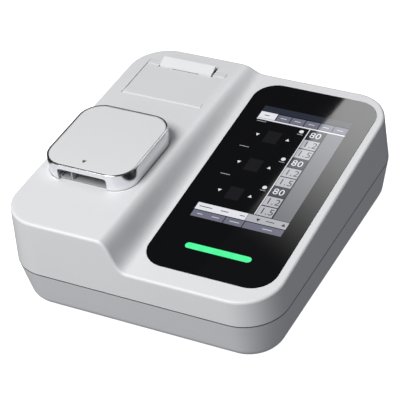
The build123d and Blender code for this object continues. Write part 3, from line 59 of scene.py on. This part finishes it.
def buildMouldGroup():
    # spark-eroded mould texture: a fine grain, a slow drift of colour and the wear of handling
    group, given, out = newGroup(
        "mouldTexture",
        [
            ("Color", "NodeSocketColor", (0.8, 0.8, 0.8, 1)),
            ("Drift", "NodeSocketFloat", 0.02),
            ("Grain Scale", "NodeSocketFloat", 900.0),
            ("Roughness", "NodeSocketFloat", 0.4),
            ("Handling", "NodeSocketFloat", 0.05),
        ],
        [("Color", "NodeSocketColor"), ("Roughness", "NodeSocketFloat"), ("Height", "NodeSocketFloat")],
    )
    link = group.links.new
    place = group.nodes.new("ShaderNodeTexCoord")
    grain = group.nodes.new("ShaderNodeTexNoise")
    grain.inputs["Detail"].default_value = 3.0
    link(place.outputs["Object"], grain.inputs["Vector"])
    link(given.outputs["Grain Scale"], grain.inputs["Scale"])
    slow = group.nodes.new("ShaderNodeTexNoise")
    slow.inputs["Scale"].default_value = 9.0
    slow.inputs["Detail"].default_value = 4.0
    link(place.outputs["Object"], slow.inputs["Vector"])
    span = group.nodes.new("ShaderNodeMapRange")
    span.inputs["From Min"].default_value = 0.3
    span.inputs["From Max"].default_value = 0.7
    link(slow.outputs["Fac"], span.inputs["Value"])
    darker = group.nodes.new("ShaderNodeMath")
    darker.operation = "MULTIPLY"
    link(span.outputs["Result"], darker.inputs[0])
    link(given.outputs["Drift"], darker.inputs[1])
    shade = group.nodes.new("ShaderNodeHueSaturation")
    keep = group.nodes.new("ShaderNodeMath")
    keep.operation = "SUBTRACT"
    keep.inputs[0].default_value = 1.0
    link(darker.outputs[0], keep.inputs[1])
    link(keep.outputs[0], shade.inputs["Value"])
    link(given.outputs["Color"], shade.inputs["Color"])
    link(shade.outputs["Color"], out.inputs["Color"])
    worn = group.nodes.new("ShaderNodeMath")
    worn.operation = "MULTIPLY_ADD"
    link(span.outputs["Result"], worn.inputs[0])
    link(given.outputs["Handling"], worn.inputs[1])
    link(given.outputs["Roughness"], worn.inputs[2])
    link(worn.outputs[0], out.inputs["Roughness"])
    link(grain.outputs["Fac"], out.inputs["Height"])
    return group


def buildBrushGroup():
    # lines that a brushing wheel leaves, long one way and fine across it
    group, given, out = newGroup(
        "brushLines",
        [
            ("Stretch", "NodeSocketVector", (1.0, 1.0, 60.0)),
            ("Scale", "NodeSocketFloat", 60.0),
            ("Roughness", "NodeSocketFloat", 0.25),
            ("Spread", "NodeSocketFloat", 0.1),
        ],
        [("Roughness", "NodeSocketFloat"), ("Height", "NodeSocketFloat")],
    )
    link = group.links.new
    place = group.nodes.new("ShaderNodeTexCoord")
    pull = group.nodes.new("ShaderNodeVectorMath")
    pull.operation = "MULTIPLY"
    link(place.outputs["Object"], pull.inputs[0])
    link(given.outputs["Stretch"], pull.inputs[1])
    lines = group.nodes.new("ShaderNodeTexNoise")
    lines.inputs["Detail"].default_value = 5.0
    link(pull.outputs["Vector"], lines.inputs["Vector"])
    link(given.outputs["Scale"], lines.inputs["Scale"])
    rough = group.nodes.new("ShaderNodeMath")
    rough.operation = "MULTIPLY_ADD"
    link(lines.outputs["Fac"], rough.inputs[0])
    link(given.outputs["Spread"], rough.inputs[1])
    link(given.outputs["Roughness"], rough.inputs[2])
    link(rough.outputs[0], out.inputs["Roughness"])
    link(lines.outputs["Fac"], out.inputs["Height"])
    return group


def buildSmudgeGroup():
    # faint finger marks on polished faces
    group, given, out = newGroup(
        "fingerMarks",
        [
            ("Roughness", "NodeSocketFloat", 0.03),
            ("Amount", "NodeSocketFloat", 0.05),
            ("Scale", "NodeSocketFloat", 25.0),
        ],
        [("Roughness", "NodeSocketFloat")],
    )
    link = group.links.new
    place = group.nodes.new("ShaderNodeTexCoord")
    marks = group.nodes.new("ShaderNodeTexNoise")
    marks.inputs["Detail"].default_value = 6.0
    marks.inputs["Distortion"].default_value = 0.6
    link(place.outputs["Object"], marks.inputs["Vector"])
    link(given.outputs["Scale"], marks.inputs["Scale"])
    ends = group.nodes.new("ShaderNodeMapRange")
    ends.inputs["From Min"].default_value = 0.55
    ends.inputs["From Max"].default_value = 0.8
    link(marks.outputs["Fac"], ends.inputs["Value"])
    rough = group.nodes.new("ShaderNodeMath")
    rough.operation = "MULTIPLY_ADD"
    link(ends.outputs["Result"], rough.inputs[0])
    link(given.outputs["Amount"], rough.inputs[1])
    link(given.outputs["Roughness"], rough.inputs[2])
    link(rough.outputs[0], out.inputs["Roughness"])
    return group


def buildSeamGroup():
    # painted shade in the seam between the two casings: a dark colour on the faces inside it, in place of
    # the shadow that falls in the gap
    group, given, out = newGroup(
        "seamShade",
        [
            ("Color", "NodeSocketColor", (0.8, 0.8, 0.8, 1)),
            ("Painted Shade", "NodeSocketColor", (0.03, 0.03, 0.033, 1)),
            ("Height", "NodeSocketFloat", seam["height"] * mm),
            ("Reach", "NodeSocketFloat", seam["reach"] * mm),
        ],
        [("Color", "NodeSocketColor")],
    )
    link = group.links.new
    place = group.nodes.new("ShaderNodeTexCoord")
    parts = group.nodes.new("ShaderNodeSeparateXYZ")
    link(place.outputs["Object"], parts.inputs["Vector"])
    inside = group.nodes.new("ShaderNodeMath")
    inside.operation = "COMPARE"
    link(parts.outputs["Z"], inside.inputs[0])
    link(given.outputs["Height"], inside.inputs[1])
    link(given.outputs["Reach"], inside.inputs[2])
    blend = group.nodes.new("ShaderNodeMixRGB")
    link(inside.outputs["Value"], blend.inputs["Fac"])
    link(given.outputs["Color"], blend.inputs["Color1"])
    link(given.outputs["Painted Shade"], blend.inputs["Color2"])
    link(blend.outputs["Color"], out.inputs["Color"])
    return group


mouldTexture = buildMouldGroup()
brushLines = buildBrushGroup()
fingerMarks = buildSmudgeGroup()
seamShade = buildSeamGroup()


def newMaterial(name, **sockets):
    material = bpy.data.materials.new(name)
    material.use_nodes = True
    shader = material.node_tree.nodes["Principled BSDF"]
    for label, value in sockets.items():
        shader.inputs[label.replace("_", " ")].default_value = value
    return material, material.node_tree, shader


def addGroup(tree, group, **values):
    node = tree.nodes.new("ShaderNodeGroup")
    node.node_tree = group
    for label, value in values.items():
        node.inputs[label.replace("_", " ")].default_value = value
    return node


def addBump(tree, shader, source, distance):
    bump = tree.nodes.new("ShaderNodeBump")
    bump.inputs["Distance"].default_value = distance
    bump.inputs["Strength"].default_value = 1.0
    tree.links.new(source, bump.inputs["Height"])
    tree.links.new(bump.outputs["Normal"], shader.inputs["Normal"])


def mouldedPlastic(
    name, color, roughness, grainScale=1100.0, grainDepth=0.00002, drift=0.02, inSeam=False, **more
):
    material, tree, shader = newMaterial(name, **more)
    mould = addGroup(tree, mouldTexture, Color=(*color, 1), Drift=drift, Roughness=roughness, Handling=0.06)
    mould.inputs["Grain Scale"].default_value = grainScale
    surface = mould.outputs["Color"]
    # painted shade: the faces in the casings' seam take a dark colour in place of the gap's shadow
    if inSeam:
        shade = addGroup(tree, seamShade)
        tree.links.new(surface, shade.inputs["Color"])
        surface = shade.outputs["Color"]
    tree.links.new(surface, shader.inputs["Base Color"])
    tree.links.new(mould.outputs["Roughness"], shader.inputs["Roughness"])
    addBump(tree, shader, mould.outputs["Height"], grainDepth)
    return material


def brushedMetal(name, color, roughness, stretch, scale=60.0, spread=0.12, depth=0.00001):
    material, tree, shader = newMaterial(name, Base_Color=(*color, 1), Metallic=1.0)
    brush = addGroup(tree, brushLines, Stretch=stretch, Scale=scale, Roughness=roughness, Spread=spread)
    tree.links.new(brush.outputs["Roughness"], shader.inputs["Roughness"])
    addBump(tree, shader, brush.outputs["Height"], depth)
    return material


def polishedBlack(name):
    material, tree, shader = newMaterial(name, Base_Color=(0.004, 0.0042, 0.005, 1), IOR=1.5)
    smudge = addGroup(tree, fingerMarks, Roughness=0.03, Amount=0.04)
    tree.links.new(smudge.outputs["Roughness"], shader.inputs["Roughness"])
    return material, tree, shader


finishes = {
    "whiteCasing": mouldedPlastic("whiteCasing", (0.80, 0.80, 0.815), 0.38, inSeam=True),
    "whiteLower": mouldedPlastic("whiteLower", (0.83, 0.835, 0.85), 0.40, inSeam=True),
    "whiteDoor": mouldedPlastic("whiteDoor", (0.77, 0.77, 0.785), 0.42),
    "whiteLatch": mouldedPlastic("whiteLatch", (0.86, 0.86, 0.87), 0.33),
    "moduleBody": mouldedPlastic("moduleBody", (0.4, 0.4, 0.415), 0.5),
    "coverPlate": mouldedPlastic("coverPlate", (0.79, 0.79, 0.80), 0.30, grainScale=1500.0),
    "footRubber": mouldedPlastic(
        "footRubber", (0.03, 0.03, 0.032), 0.75, grainScale=700.0, grainDepth=0.00008
    ),
    "blackGlass": polishedBlack("blackGlass")[0],
    "tapeBlack": mouldedPlastic("tapeBlack", (0.02, 0.02, 0.02), 0.9),
    "lcdCan": brushedMetal("lcdCan", (0.6, 0.61, 0.62), 0.35, (1.0, 20.0, 1.0)),
    "zincSheet": brushedMetal("zincSheet", (0.58, 0.59, 0.6), 0.38, (14.0, 1.0, 14.0)),
    "screwSteel": brushedMetal("screwSteel", (0.5, 0.5, 0.51), 0.3, (6.0, 6.0, 1.0), scale=200.0),
    "groundSteel": brushedMetal("groundSteel", (0.68, 0.69, 0.7), 0.18, (1.0, 30.0, 1.0), scale=90.0),
    "chromeBand": brushedMetal(
        "chromeBand", (0.86, 0.87, 0.89), 0.10, (1.0, 1.0, 40.0), scale=40.0, spread=0.10
    ),
    "boardGreen": mouldedPlastic(
        "boardGreen", (0.02, 0.11, 0.06), 0.35, grainScale=400.0, drift=0.25, Coat_Weight=0.4
    ),
    "readerBlack": mouldedPlastic("readerBlack", (0.02, 0.02, 0.022), 0.5),
    "carriageGrey": mouldedPlastic("carriageGrey", (0.36, 0.36, 0.375), 0.42),
    "nutBrass": brushedMetal("nutBrass", (0.75, 0.55, 0.25), 0.28, (1.0, 20.0, 1.0)),
    "motorBlack": mouldedPlastic("motorBlack", (0.03, 0.03, 0.033), 0.4, drift=0.1, Coat_Weight=0.2),
    "printerGrey": mouldedPlastic("printerGrey", (0.05, 0.05, 0.055), 0.5),
    "headAluminium": brushedMetal("headAluminium", (0.62, 0.62, 0.63), 0.3, (1.0, 16.0, 16.0)),
    "platenRubber": mouldedPlastic("platenRubber", (0.025, 0.025, 0.025), 0.7, grainScale=1600.0),
    "gearAcetal": mouldedPlastic("gearAcetal", (0.78, 0.76, 0.68), 0.35),
    "thermalPaper": mouldedPlastic("thermalPaper", (0.85, 0.85, 0.83), 0.55, grainScale=2400.0, drift=0.03),
    "socketMetal": brushedMetal("socketMetal", (0.66, 0.66, 0.67), 0.25, (10.0, 1.0, 10.0)),
    "socketBlack": mouldedPlastic("socketBlack", (0.02, 0.02, 0.022), 0.45),
}


def litDiffuser():
    # the lit light bar, with faint clouds in its glow
    material, tree, shader = newMaterial("lightGreen", Base_Color=(0.01, 0.08, 0.04, 1), Roughness=0.25)
    place = tree.nodes.new("ShaderNodeTexCoord")
    cloud = tree.nodes.new("ShaderNodeTexNoise")
    cloud.inputs["Scale"].default_value = 160.0
    tree.links.new(place.outputs["Object"], cloud.inputs["Vector"])
    ramp = tree.nodes.new("ShaderNodeValToRGB")
    ramp.color_ramp.elements[0].position = 0.3
    ramp.color_ramp.elements[0].color = (0.055, 0.86, 0.28, 1)
    ramp.color_ramp.elements[1].position = 0.7
    ramp.color_ramp.elements[1].color = (0.085, 0.97, 0.36, 1)
    tree.links.new(cloud.outputs["Fac"], ramp.inputs["Fac"])
    tree.links.new(ramp.outputs["Color"], shader.inputs["Emission Color"])
    shader.inputs["Emission Strength"].default_value = 1.0
    return material


finishes["lightGreen"] = litDiffuser()

nodeFinish = {
    "upper_casing": "whiteCasing",
    "lower_casing": "whiteLower",
    "rubber_feet": "footRubber",
    "casing_screws": "screwSteel",
    "cover_glass": "blackGlass",
    "glass_tape": "tapeBlack",
    "lcd_panel": "lcdCan",
    "display_bracket": "zincSheet",
    "bracket_screws": "screwSteel",
    "light_bar": "lightGreen",
    "lamp_board": "boardGreen",
    "lamp_screws": "screwSteel",
    "module_band": "chromeBand",
    "module_body": "moduleBody",
    "module_cover": "coverPlate",
    "reader_head": "readerBlack",
    "card_carriage": "carriageGrey",
    "drive_nut": "nutBrass",
    "carriage_frame": "zincSheet",
    "guide_rods": "groundSteel",
    "lead_screw": "groundSteel",
    "carriage_motor": "motorBlack",
    "frame_screws": "screwSteel",
    "printer_door": "whiteDoor",
    "door_hinge_pin": "groundSteel",
    "platen_shaft": "groundSteel",
    "platen_sleeve": "platenRubber",
    "platen_gear": "gearAcetal",
    "paper_roll": "thermalPaper",
    "printer_frame": "printerGrey",
    "print_head": "headAluminium",
    "latch_lever": "whiteLatch",
    "latch_pin": "groundSteel",
    "main_board": "boardGreen",
    "board_screws": "screwSteel",
    "network_socket": "socketMetal",
    "usb_sockets": "socketMetal",
    "power_inlet": "socketBlack",
    "switch_housing": "socketBlack",
    "switch_rocker": "socketBlack",
}
for nodeName, finishName in nodeFinish.items():
    nodes[nodeName].data.materials.clear()
    nodes[nodeName].data.materials.append(finishes[finishName])
print("finishes set on", len(nodeFinish), "nodes")


# the screen's lit area on the deck and what is printed in it, in mm
screen = {
    "left": 16.42,
    "front": -56.84,
    "width": 85.92,
    "height": 153.1,
    "lift": 0.02,
    "fieldThick": 0.03,
    "markLift": 0.05,
    "dotRadius": 2.1,
    "arrowRadius": 2.2,
    "glow": 1.0,
}

# the numbers' height in mm, and how the font makes it
digits = {"height": 7.6, "capShare": 0.72, "halfThick": 0.015, "spacing": 1.05, "curveSteps": 3}

# the screen's places below are counted from its upper left corner, in parts of its width and height
parts = {"across": 860, "down": 1526}


def glowing(name, color):
    # a lit part of the screen, seen through the same polished glass
    material, tree, shader = polishedBlack(name)
    place = tree.nodes.new("ShaderNodeTexCoord")
    fade = tree.nodes.new("ShaderNodeTexNoise")
    fade.inputs["Scale"].default_value = 14.0
    tree.links.new(place.outputs["Object"], fade.inputs["Vector"])
    ramp = tree.nodes.new("ShaderNodeValToRGB")
    ramp.color_ramp.elements[0].color = (*[c * 0.93 for c in color], 1)
    ramp.color_ramp.elements[1].color = (*color, 1)
    tree.links.new(fade.outputs["Fac"], ramp.inputs["Fac"])
    tree.links.new(ramp.outputs["Color"], shader.inputs["Emission Color"])
    shader.inputs["Emission Strength"].default_value = screen["glow"]
    return material


screenTones = {
    "Slate": glowing("screenSlate", (0.022, 0.026, 0.042)),
    "White": glowing("screenWhite", (0.80, 0.80, 0.86)),
    "Pale": glowing("screenPale", (0.46, 0.46, 0.50)),
    "Grey": glowing("screenGrey", (0.175, 0.177, 0.195)),
    "Blue": glowing("screenBlue", (0.165, 0.17, 0.225)),
    "Dim": glowing("screenDim", (0.008, 0.008, 0.010)),
}


def deselectAll():
    bpy.ops.object.select_all(action="DESELECT")


def joinPieces(pieces, name):
    deselectAll()
    for piece in pieces:
        piece.select_set(True)
    bpy.context.view_layer.objects.active = pieces[0]
    if len(pieces) > 1:
        bpy.ops.object.join()
    joined = bpy.context.view_layer.objects.active
    joined.name = name
    joined.data.name = name
    return joined


def onScreen(across, down):
    x = screen["left"] + screen["width"] * across / parts["across"]
    y = screen["front"] + screen["height"] * (1 - down / parts["down"])
    return x, y


def thicken(flat, thickness):
    bpy.context.view_layer.objects.active = flat
    bpy.ops.object.mode_set(mode="EDIT")
    bpy.ops.mesh.select_all(action="SELECT")
    bpy.ops.mesh.extrude_region_move(TRANSFORM_OT_translate={"value": (0, 0, thickness * mm)})
    bpy.ops.mesh.select_all(action="SELECT")
    bpy.ops.mesh.normals_make_consistent(inside=False)
    bpy.ops.object.mode_set(mode="OBJECT")


def addTile(left, top, right, bottom, lift=0.0):
    x0, y1 = onScreen(left, top)
    x1, y0 = onScreen(right, bottom)
    deselectAll()
    bpy.ops.mesh.primitive_plane_add(size=1, location=((x0 + x1) / 2 * mm, (y0 + y1) / 2 * mm, lift * mm))
    tile = bpy.context.object
    tile.scale = ((x1 - x0) * mm, (y1 - y0) * mm, 1)
    bpy.ops.object.transform_apply(location=True, rotation=False, scale=True)
    thicken(tile, screen["fieldThick"])
    return tile


# a flat prism about a point in mm: many sides for a dot, three for an arrow
def addPrism(x, y, z, radius, sides, turn=0.0):
    deselectAll()
    bpy.ops.mesh.primitive_circle_add(
        vertices=sides, radius=radius * mm, fill_type="NGON",
        location=(x * mm, y * mm, z * mm), rotation=(0, 0, turn),
    )
    prism = bpy.context.object
    bpy.ops.object.transform_apply(location=True, rotation=True, scale=True)
    thicken(prism, screen["fieldThick"])
    return prism


def addNumber(text, left, base, lift):
    x, y = onScreen(left, base)
    deselectAll()
    bpy.ops.object.text_add()
    number = bpy.context.object
    number.data.body = text
    number.data.size = digits["height"] * mm / digits["capShare"]
    number.data.extrude = digits["halfThick"] * mm
    number.data.resolution_u = digits["curveSteps"]
    number.data.space_character = digits["spacing"]
    bpy.ops.object.convert(target="MESH")
    number = bpy.context.object
    number.location = (x * mm, y * mm, (lift + digits["halfThick"]) * mm)
    bpy.ops.object.transform_apply(location=True, rotation=True, scale=True)
    return number


def layOnDeck(piece, tone):
    piece.data.transform(toDeck(screen["lift"]))
    piece.data.materials.clear()
    piece.data.materials.append(screenTones[tone])
    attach(piece, "analyzer")


dotSides = 24
arrowSides = 3
arrowDown = math.pi
blockTops = (190, 575, 960)
cellsInBlock = 3
cellStart, cellPitch, cellHeight = 8, 128, 116
cellTops = [top + cellStart + cellPitch * step for top in blockTops for step in range(cellsInBlock)]
tabPitch = 138
tabs = range(5)
mark = screen["markLift"]

slateTiles = [addTile(0, 0, 860, 72)]
whiteTiles = [addTile(2, 80, 166, 168), addTile(0, 172, 860, 188)]
paleTiles = []
greyTiles = [addTile(700, 192, 860, 1344)]
blueTiles = [addTile(176 + tabPitch * step, 84, 306 + tabPitch * step, 166) for step in tabs]
dimTiles = []
whiteTiles.append(addTile(524, 190, 533, 1344))
for index, top in enumerate(cellTops):
    if index % cellsInBlock == 0:
        slateTiles.append(addTile(540, top, 686, top + cellHeight))
    else:
        paleTiles.append(addTile(538, top, 686, top + cellHeight))
for top in blockTops:
    dimTiles.append(addTile(180, top + 120, 315, top + 276))
    whiteTiles.append(addPrism(*onScreen(467, top + 48), 0, screen["dotRadius"], dotSides))
    whiteTiles.append(addPrism(*onScreen(102, top + 193), 0, screen["dotRadius"], arrowSides, arrowDown))
    whiteTiles.append(addPrism(*onScreen(396, top + 193), 0, screen["dotRadius"], arrowSides))
    paleTiles.append(addTile(440, top + 84, 494, top + 90))
    # the first block's heading sits below the bar across the top, the others' above their block
    heading = top + 18 if top == blockTops[0] else top - 10
    paleTiles.append(addTile(12, heading, 104, heading + 6))
whiteTiles.append(addTile(0, 1350, 478, 1436))
paleTiles.append(addTile(482, 1350, 860, 1436))
for left, right in ((2, 306), (314, 486), (494, 858)):
    blueTiles.append(addTile(left, 1446, right, 1524))
markTiles = []
for left, right in ((28, 150), (232, 306), (414, 462), (660, 740)):
    markTiles.append(addTile(left, 1388, right, 1396, mark))
markTiles.append(addPrism(*onScreen(588, 1394), mark, screen["arrowRadius"], arrowSides, arrowDown))
markTiles.append(addPrism(*onScreen(824, 1394), mark, screen["arrowRadius"], arrowSides))
markTiles.append(addTile(50, 120, 100, 128, mark))
labelTiles = []
for left, right in ((50, 100), (190, 260), (362, 452), (670, 760)):
    labelTiles.append(addTile(left, 1481, right, 1487, mark))
for step in tabs:
    labelTiles.append(addTile(210 + tabPitch * step, 122, 268 + tabPitch * step, 128, mark))
for index, top in enumerate(cellTops):
    if index % cellsInBlock == 0:
        labelTiles.append(addNumber("80", 556, top + 92, mark))
    else:
        text = ("1.2", "1.5")[index % cellsInBlock - 1]
        markTiles.append(addNumber(text, 550, top + 92, mark))

layOnDeck(joinPieces(slateTiles, "screenSlateFields"), "Slate")
layOnDeck(joinPieces(whiteTiles, "screenWhiteFields"), "White")
layOnDeck(joinPieces(paleTiles, "screenPaleFields"), "Pale")
layOnDeck(joinPieces(greyTiles, "screenListPanel"), "Grey")
layOnDeck(joinPieces(blueTiles, "screenButtons"), "Blue")
layOnDeck(joinPieces(dimTiles, "screenDimSquares"), "Dim")
layOnDeck(joinPieces(markTiles, "screenDarkMarks"), "Slate")
layOnDeck(joinPieces(labelTiles, "screenLightMarks"), "White")
print("screen laid out")


# plain pointer above the card slot, printed on the module's cover
pointer = {"x": -78.9, "y": -62.6, "size": 2.6, "height": 115.3}


def buildPointer():
    mark = addPrism(pointer["x"], pointer["y"], pointer["height"], pointer["size"], arrowSides, arrowDown)
    mark.name = "slotPointer"
    mark.data.materials.append(mouldedPlastic("printInk", (0.05, 0.05, 0.055), 0.5))
    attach(mark, "analyzer")


buildPointer()
print("pointer printed")


# lamps in metres and watts, and how strong the air and the floor are
studio = {
    "key": {"place": (-0.4, -0.95, 1.62), "aim": (0, 0, 0.08), "size": 0.9, "power": 29.0},
    "fill": {"place": (-0.5, -1.5, 0.5), "aim": (0, 0, 0.05), "size": 0.9, "power": 4.0},
    "air": 0.22,
    "glossyAir": 0.05,
    "floorGlow": 0.88,
    "floorSize": 8,
}

# a softbox behind the analyzer that shows as the sheen on the glass: its corner and edges in mm, the
# stretch that it covers, and its light from dark at one end, past the knee, to full at the other
sheen = {
    "corner": (-463.6, 1102.8, 1134.1),
    "along": (0.4315, 0.7850, -0.4445),
    "across": (0.8282, -0.1494, 0.5401),
    "from": -450.0,
    "to": 300.0,
    "width": 600.0,
    "strength": 6.0,
    "fall": [(-300, 0.01), (0, 0.85), (300, 1.0)],
}


def addArea(name, place, aim, size, power):
    lamp = bpy.data.lights.new(name, "AREA")
    lamp.energy = power
    lamp.size = size
    lampObject = bpy.data.objects.new(name, lamp)
    bpy.context.scene.collection.objects.link(lampObject)
    lampObject.location = place
    lampObject.rotation_euler = (Vector(aim) - Vector(place)).to_track_quat("-Z", "Y").to_euler()


def buildFloor():
    deselectAll()
    bpy.ops.mesh.primitive_plane_add(size=studio["floorSize"], location=(0, 0, 0))
    floor = bpy.context.object
    floor.name = "studioFloor"
    material, tree, shader = newMaterial("floorWhite", Roughness=0.6)
    mould = addGroup(tree, mouldTexture, Color=(0.95, 0.95, 0.95, 1), Drift=0.01, Grain_Scale=40.0)
    tree.links.new(mould.outputs["Color"], shader.inputs["Base Color"])
    shader.inputs["Emission Color"].default_value = (1, 1, 1, 1)
    shader.inputs["Emission Strength"].default_value = studio["floorGlow"]
    floor.data.materials.append(material)
    floor.visible_diffuse = False
    floor.visible_glossy = False


def buildAir():
    world = bpy.data.worlds.new("studioAir")
    bpy.context.scene.world = world
    world.use_nodes = True
    tree = world.node_tree
    ground = tree.nodes["Background"]
    ground.inputs["Color"].default_value = (0.93, 0.95, 1.0, 1)
    ground.inputs["Strength"].default_value = studio["air"]
    seen = tree.nodes.new("ShaderNodeBackground")
    seen.inputs["Strength"].default_value = 1.0
    mirrored = tree.nodes.new("ShaderNodeBackground")
    mirrored.inputs["Strength"].default_value = studio["glossyAir"]
    rays = tree.nodes.new("ShaderNodeLightPath")
    inMirrors = tree.nodes.new("ShaderNodeMixShader")
    tree.links.new(rays.outputs["Is Glossy Ray"], inMirrors.inputs["Fac"])
    tree.links.new(ground.outputs["Background"], inMirrors.inputs[1])
    tree.links.new(mirrored.outputs["Background"], inMirrors.inputs[2])
    inView = tree.nodes.new("ShaderNodeMixShader")
    tree.links.new(rays.outputs["Is Camera Ray"], inView.inputs["Fac"])
    tree.links.new(inMirrors.outputs["Shader"], inView.inputs[1])
    tree.links.new(seen.outputs["Background"], inView.inputs[2])
    tree.links.new(inView.outputs["Shader"], tree.nodes["World Output"].inputs["Surface"])


def buildSoftbox():
    length = sheen["to"] - sheen["from"]
    deselectAll()
    bpy.ops.mesh.primitive_plane_add(
        size=1, location=((sheen["from"] + sheen["to"]) / 2 * mm, sheen["width"] / 2 * mm, 0)
    )
    box = bpy.context.object
    box.name = "sheenBox"
    box.scale = (length * mm, sheen["width"] * mm, 1)
    bpy.ops.object.transform_apply(location=True, rotation=False, scale=True)
    along, across = Vector(sheen["along"]), Vector(sheen["across"])
    axes = Matrix((along, across, along.cross(across))).transposed().to_4x4()
    box.matrix_world = Matrix.Translation(Vector(sheen["corner"]) * mm) @ axes
    material = bpy.data.materials.new("sheenCloth")
    material.use_nodes = True
    tree = material.node_tree
    tree.nodes.remove(tree.nodes["Principled BSDF"])
    cloth = tree.nodes.new("ShaderNodeEmission")
    place = tree.nodes.new("ShaderNodeTexCoord")
    split = tree.nodes.new("ShaderNodeSeparateXYZ")
    tree.links.new(place.outputs["Object"], split.inputs["Vector"])
    span = tree.nodes.new("ShaderNodeMapRange")
    span.inputs["From Min"].default_value = sheen["from"] * mm
    span.inputs["From Max"].default_value = sheen["to"] * mm
    tree.links.new(split.outputs["X"], span.inputs["Value"])
    ramp = tree.nodes.new("ShaderNodeValToRGB")
    ramp.color_ramp.interpolation = "EASE"
    stops = ramp.color_ramp.elements
    for index, (reach, level) in enumerate(sheen["fall"]):
        position = (reach - sheen["from"]) / length
        stop = stops[index] if index < 2 else stops.new(position)
        stop.position = position
        stop.color = (level, level, level, 1)
    tree.links.new(span.outputs["Result"], ramp.inputs["Fac"])
    tree.links.new(ramp.outputs["Color"], cloth.inputs["Color"])
    cloth.inputs["Strength"].default_value = sheen["strength"]
    tree.links.new(cloth.outputs["Emission"], tree.nodes["Material Output"].inputs["Surface"])
    box.data.materials.append(material)
    box.visible_camera = False
    box.visible_diffuse = False
    box.visible_shadow = False


buildFloor()
buildAir()
buildSoftbox()
addArea("keyLight", **studio["key"])
addArea("fillLight", **studio["fill"])
bpy.context.scene.view_settings.view_transform = "Standard"
print("studio lit")


# camera at the photograph's angle: turns in degrees, focal length in picture widths, offset in mm
view = {
    "azimuth": 31.78,
    "elevation": 37.80,
    "roll": -7.47,
    "focal": 4.5667,
    "sensorWidth": 36,
    "nearClip": 0.05,
    "offset": (-10.14, 34.94, 1649.51),
    "casingFoot": 2.5,
}


def buildCamera():
    azimuth, elevation, roll = (math.radians(view[part]) for part in ("azimuth", "elevation", "roll"))
    level = math.cos(elevation)
    back = Vector((math.sin(azimuth) * level, -math.cos(azimuth) * level, math.sin(elevation)))
    right = Vector((math.cos(azimuth), math.sin(azimuth), 0))
    up = back.cross(right)
    turnedRight = right * math.cos(roll) + up * math.sin(roll)
    turnedUp = up * math.cos(roll) - right * math.sin(roll)
    place = turnedRight * view["offset"][0] + turnedUp * view["offset"][1] + back * view["offset"][2]
    place.z += view["casingFoot"]
    camera = bpy.data.cameras.new("photoCamera")
    camera.sensor_width = view["sensorWidth"]
    camera.lens = view["focal"] * view["sensorWidth"]
    camera.clip_start = view["nearClip"]
    cameraObject = bpy.data.objects.new("photoCamera", camera)
    bpy.context.scene.collection.objects.link(cameraObject)
    axes = Matrix((turnedRight, turnedUp, back)).transposed().to_4x4()
    cameraObject.matrix_world = Matrix.Translation(place * mm) @ axes
    bpy.context.scene.camera = cameraObject


buildCamera()

bpy.context.view_layer.update()
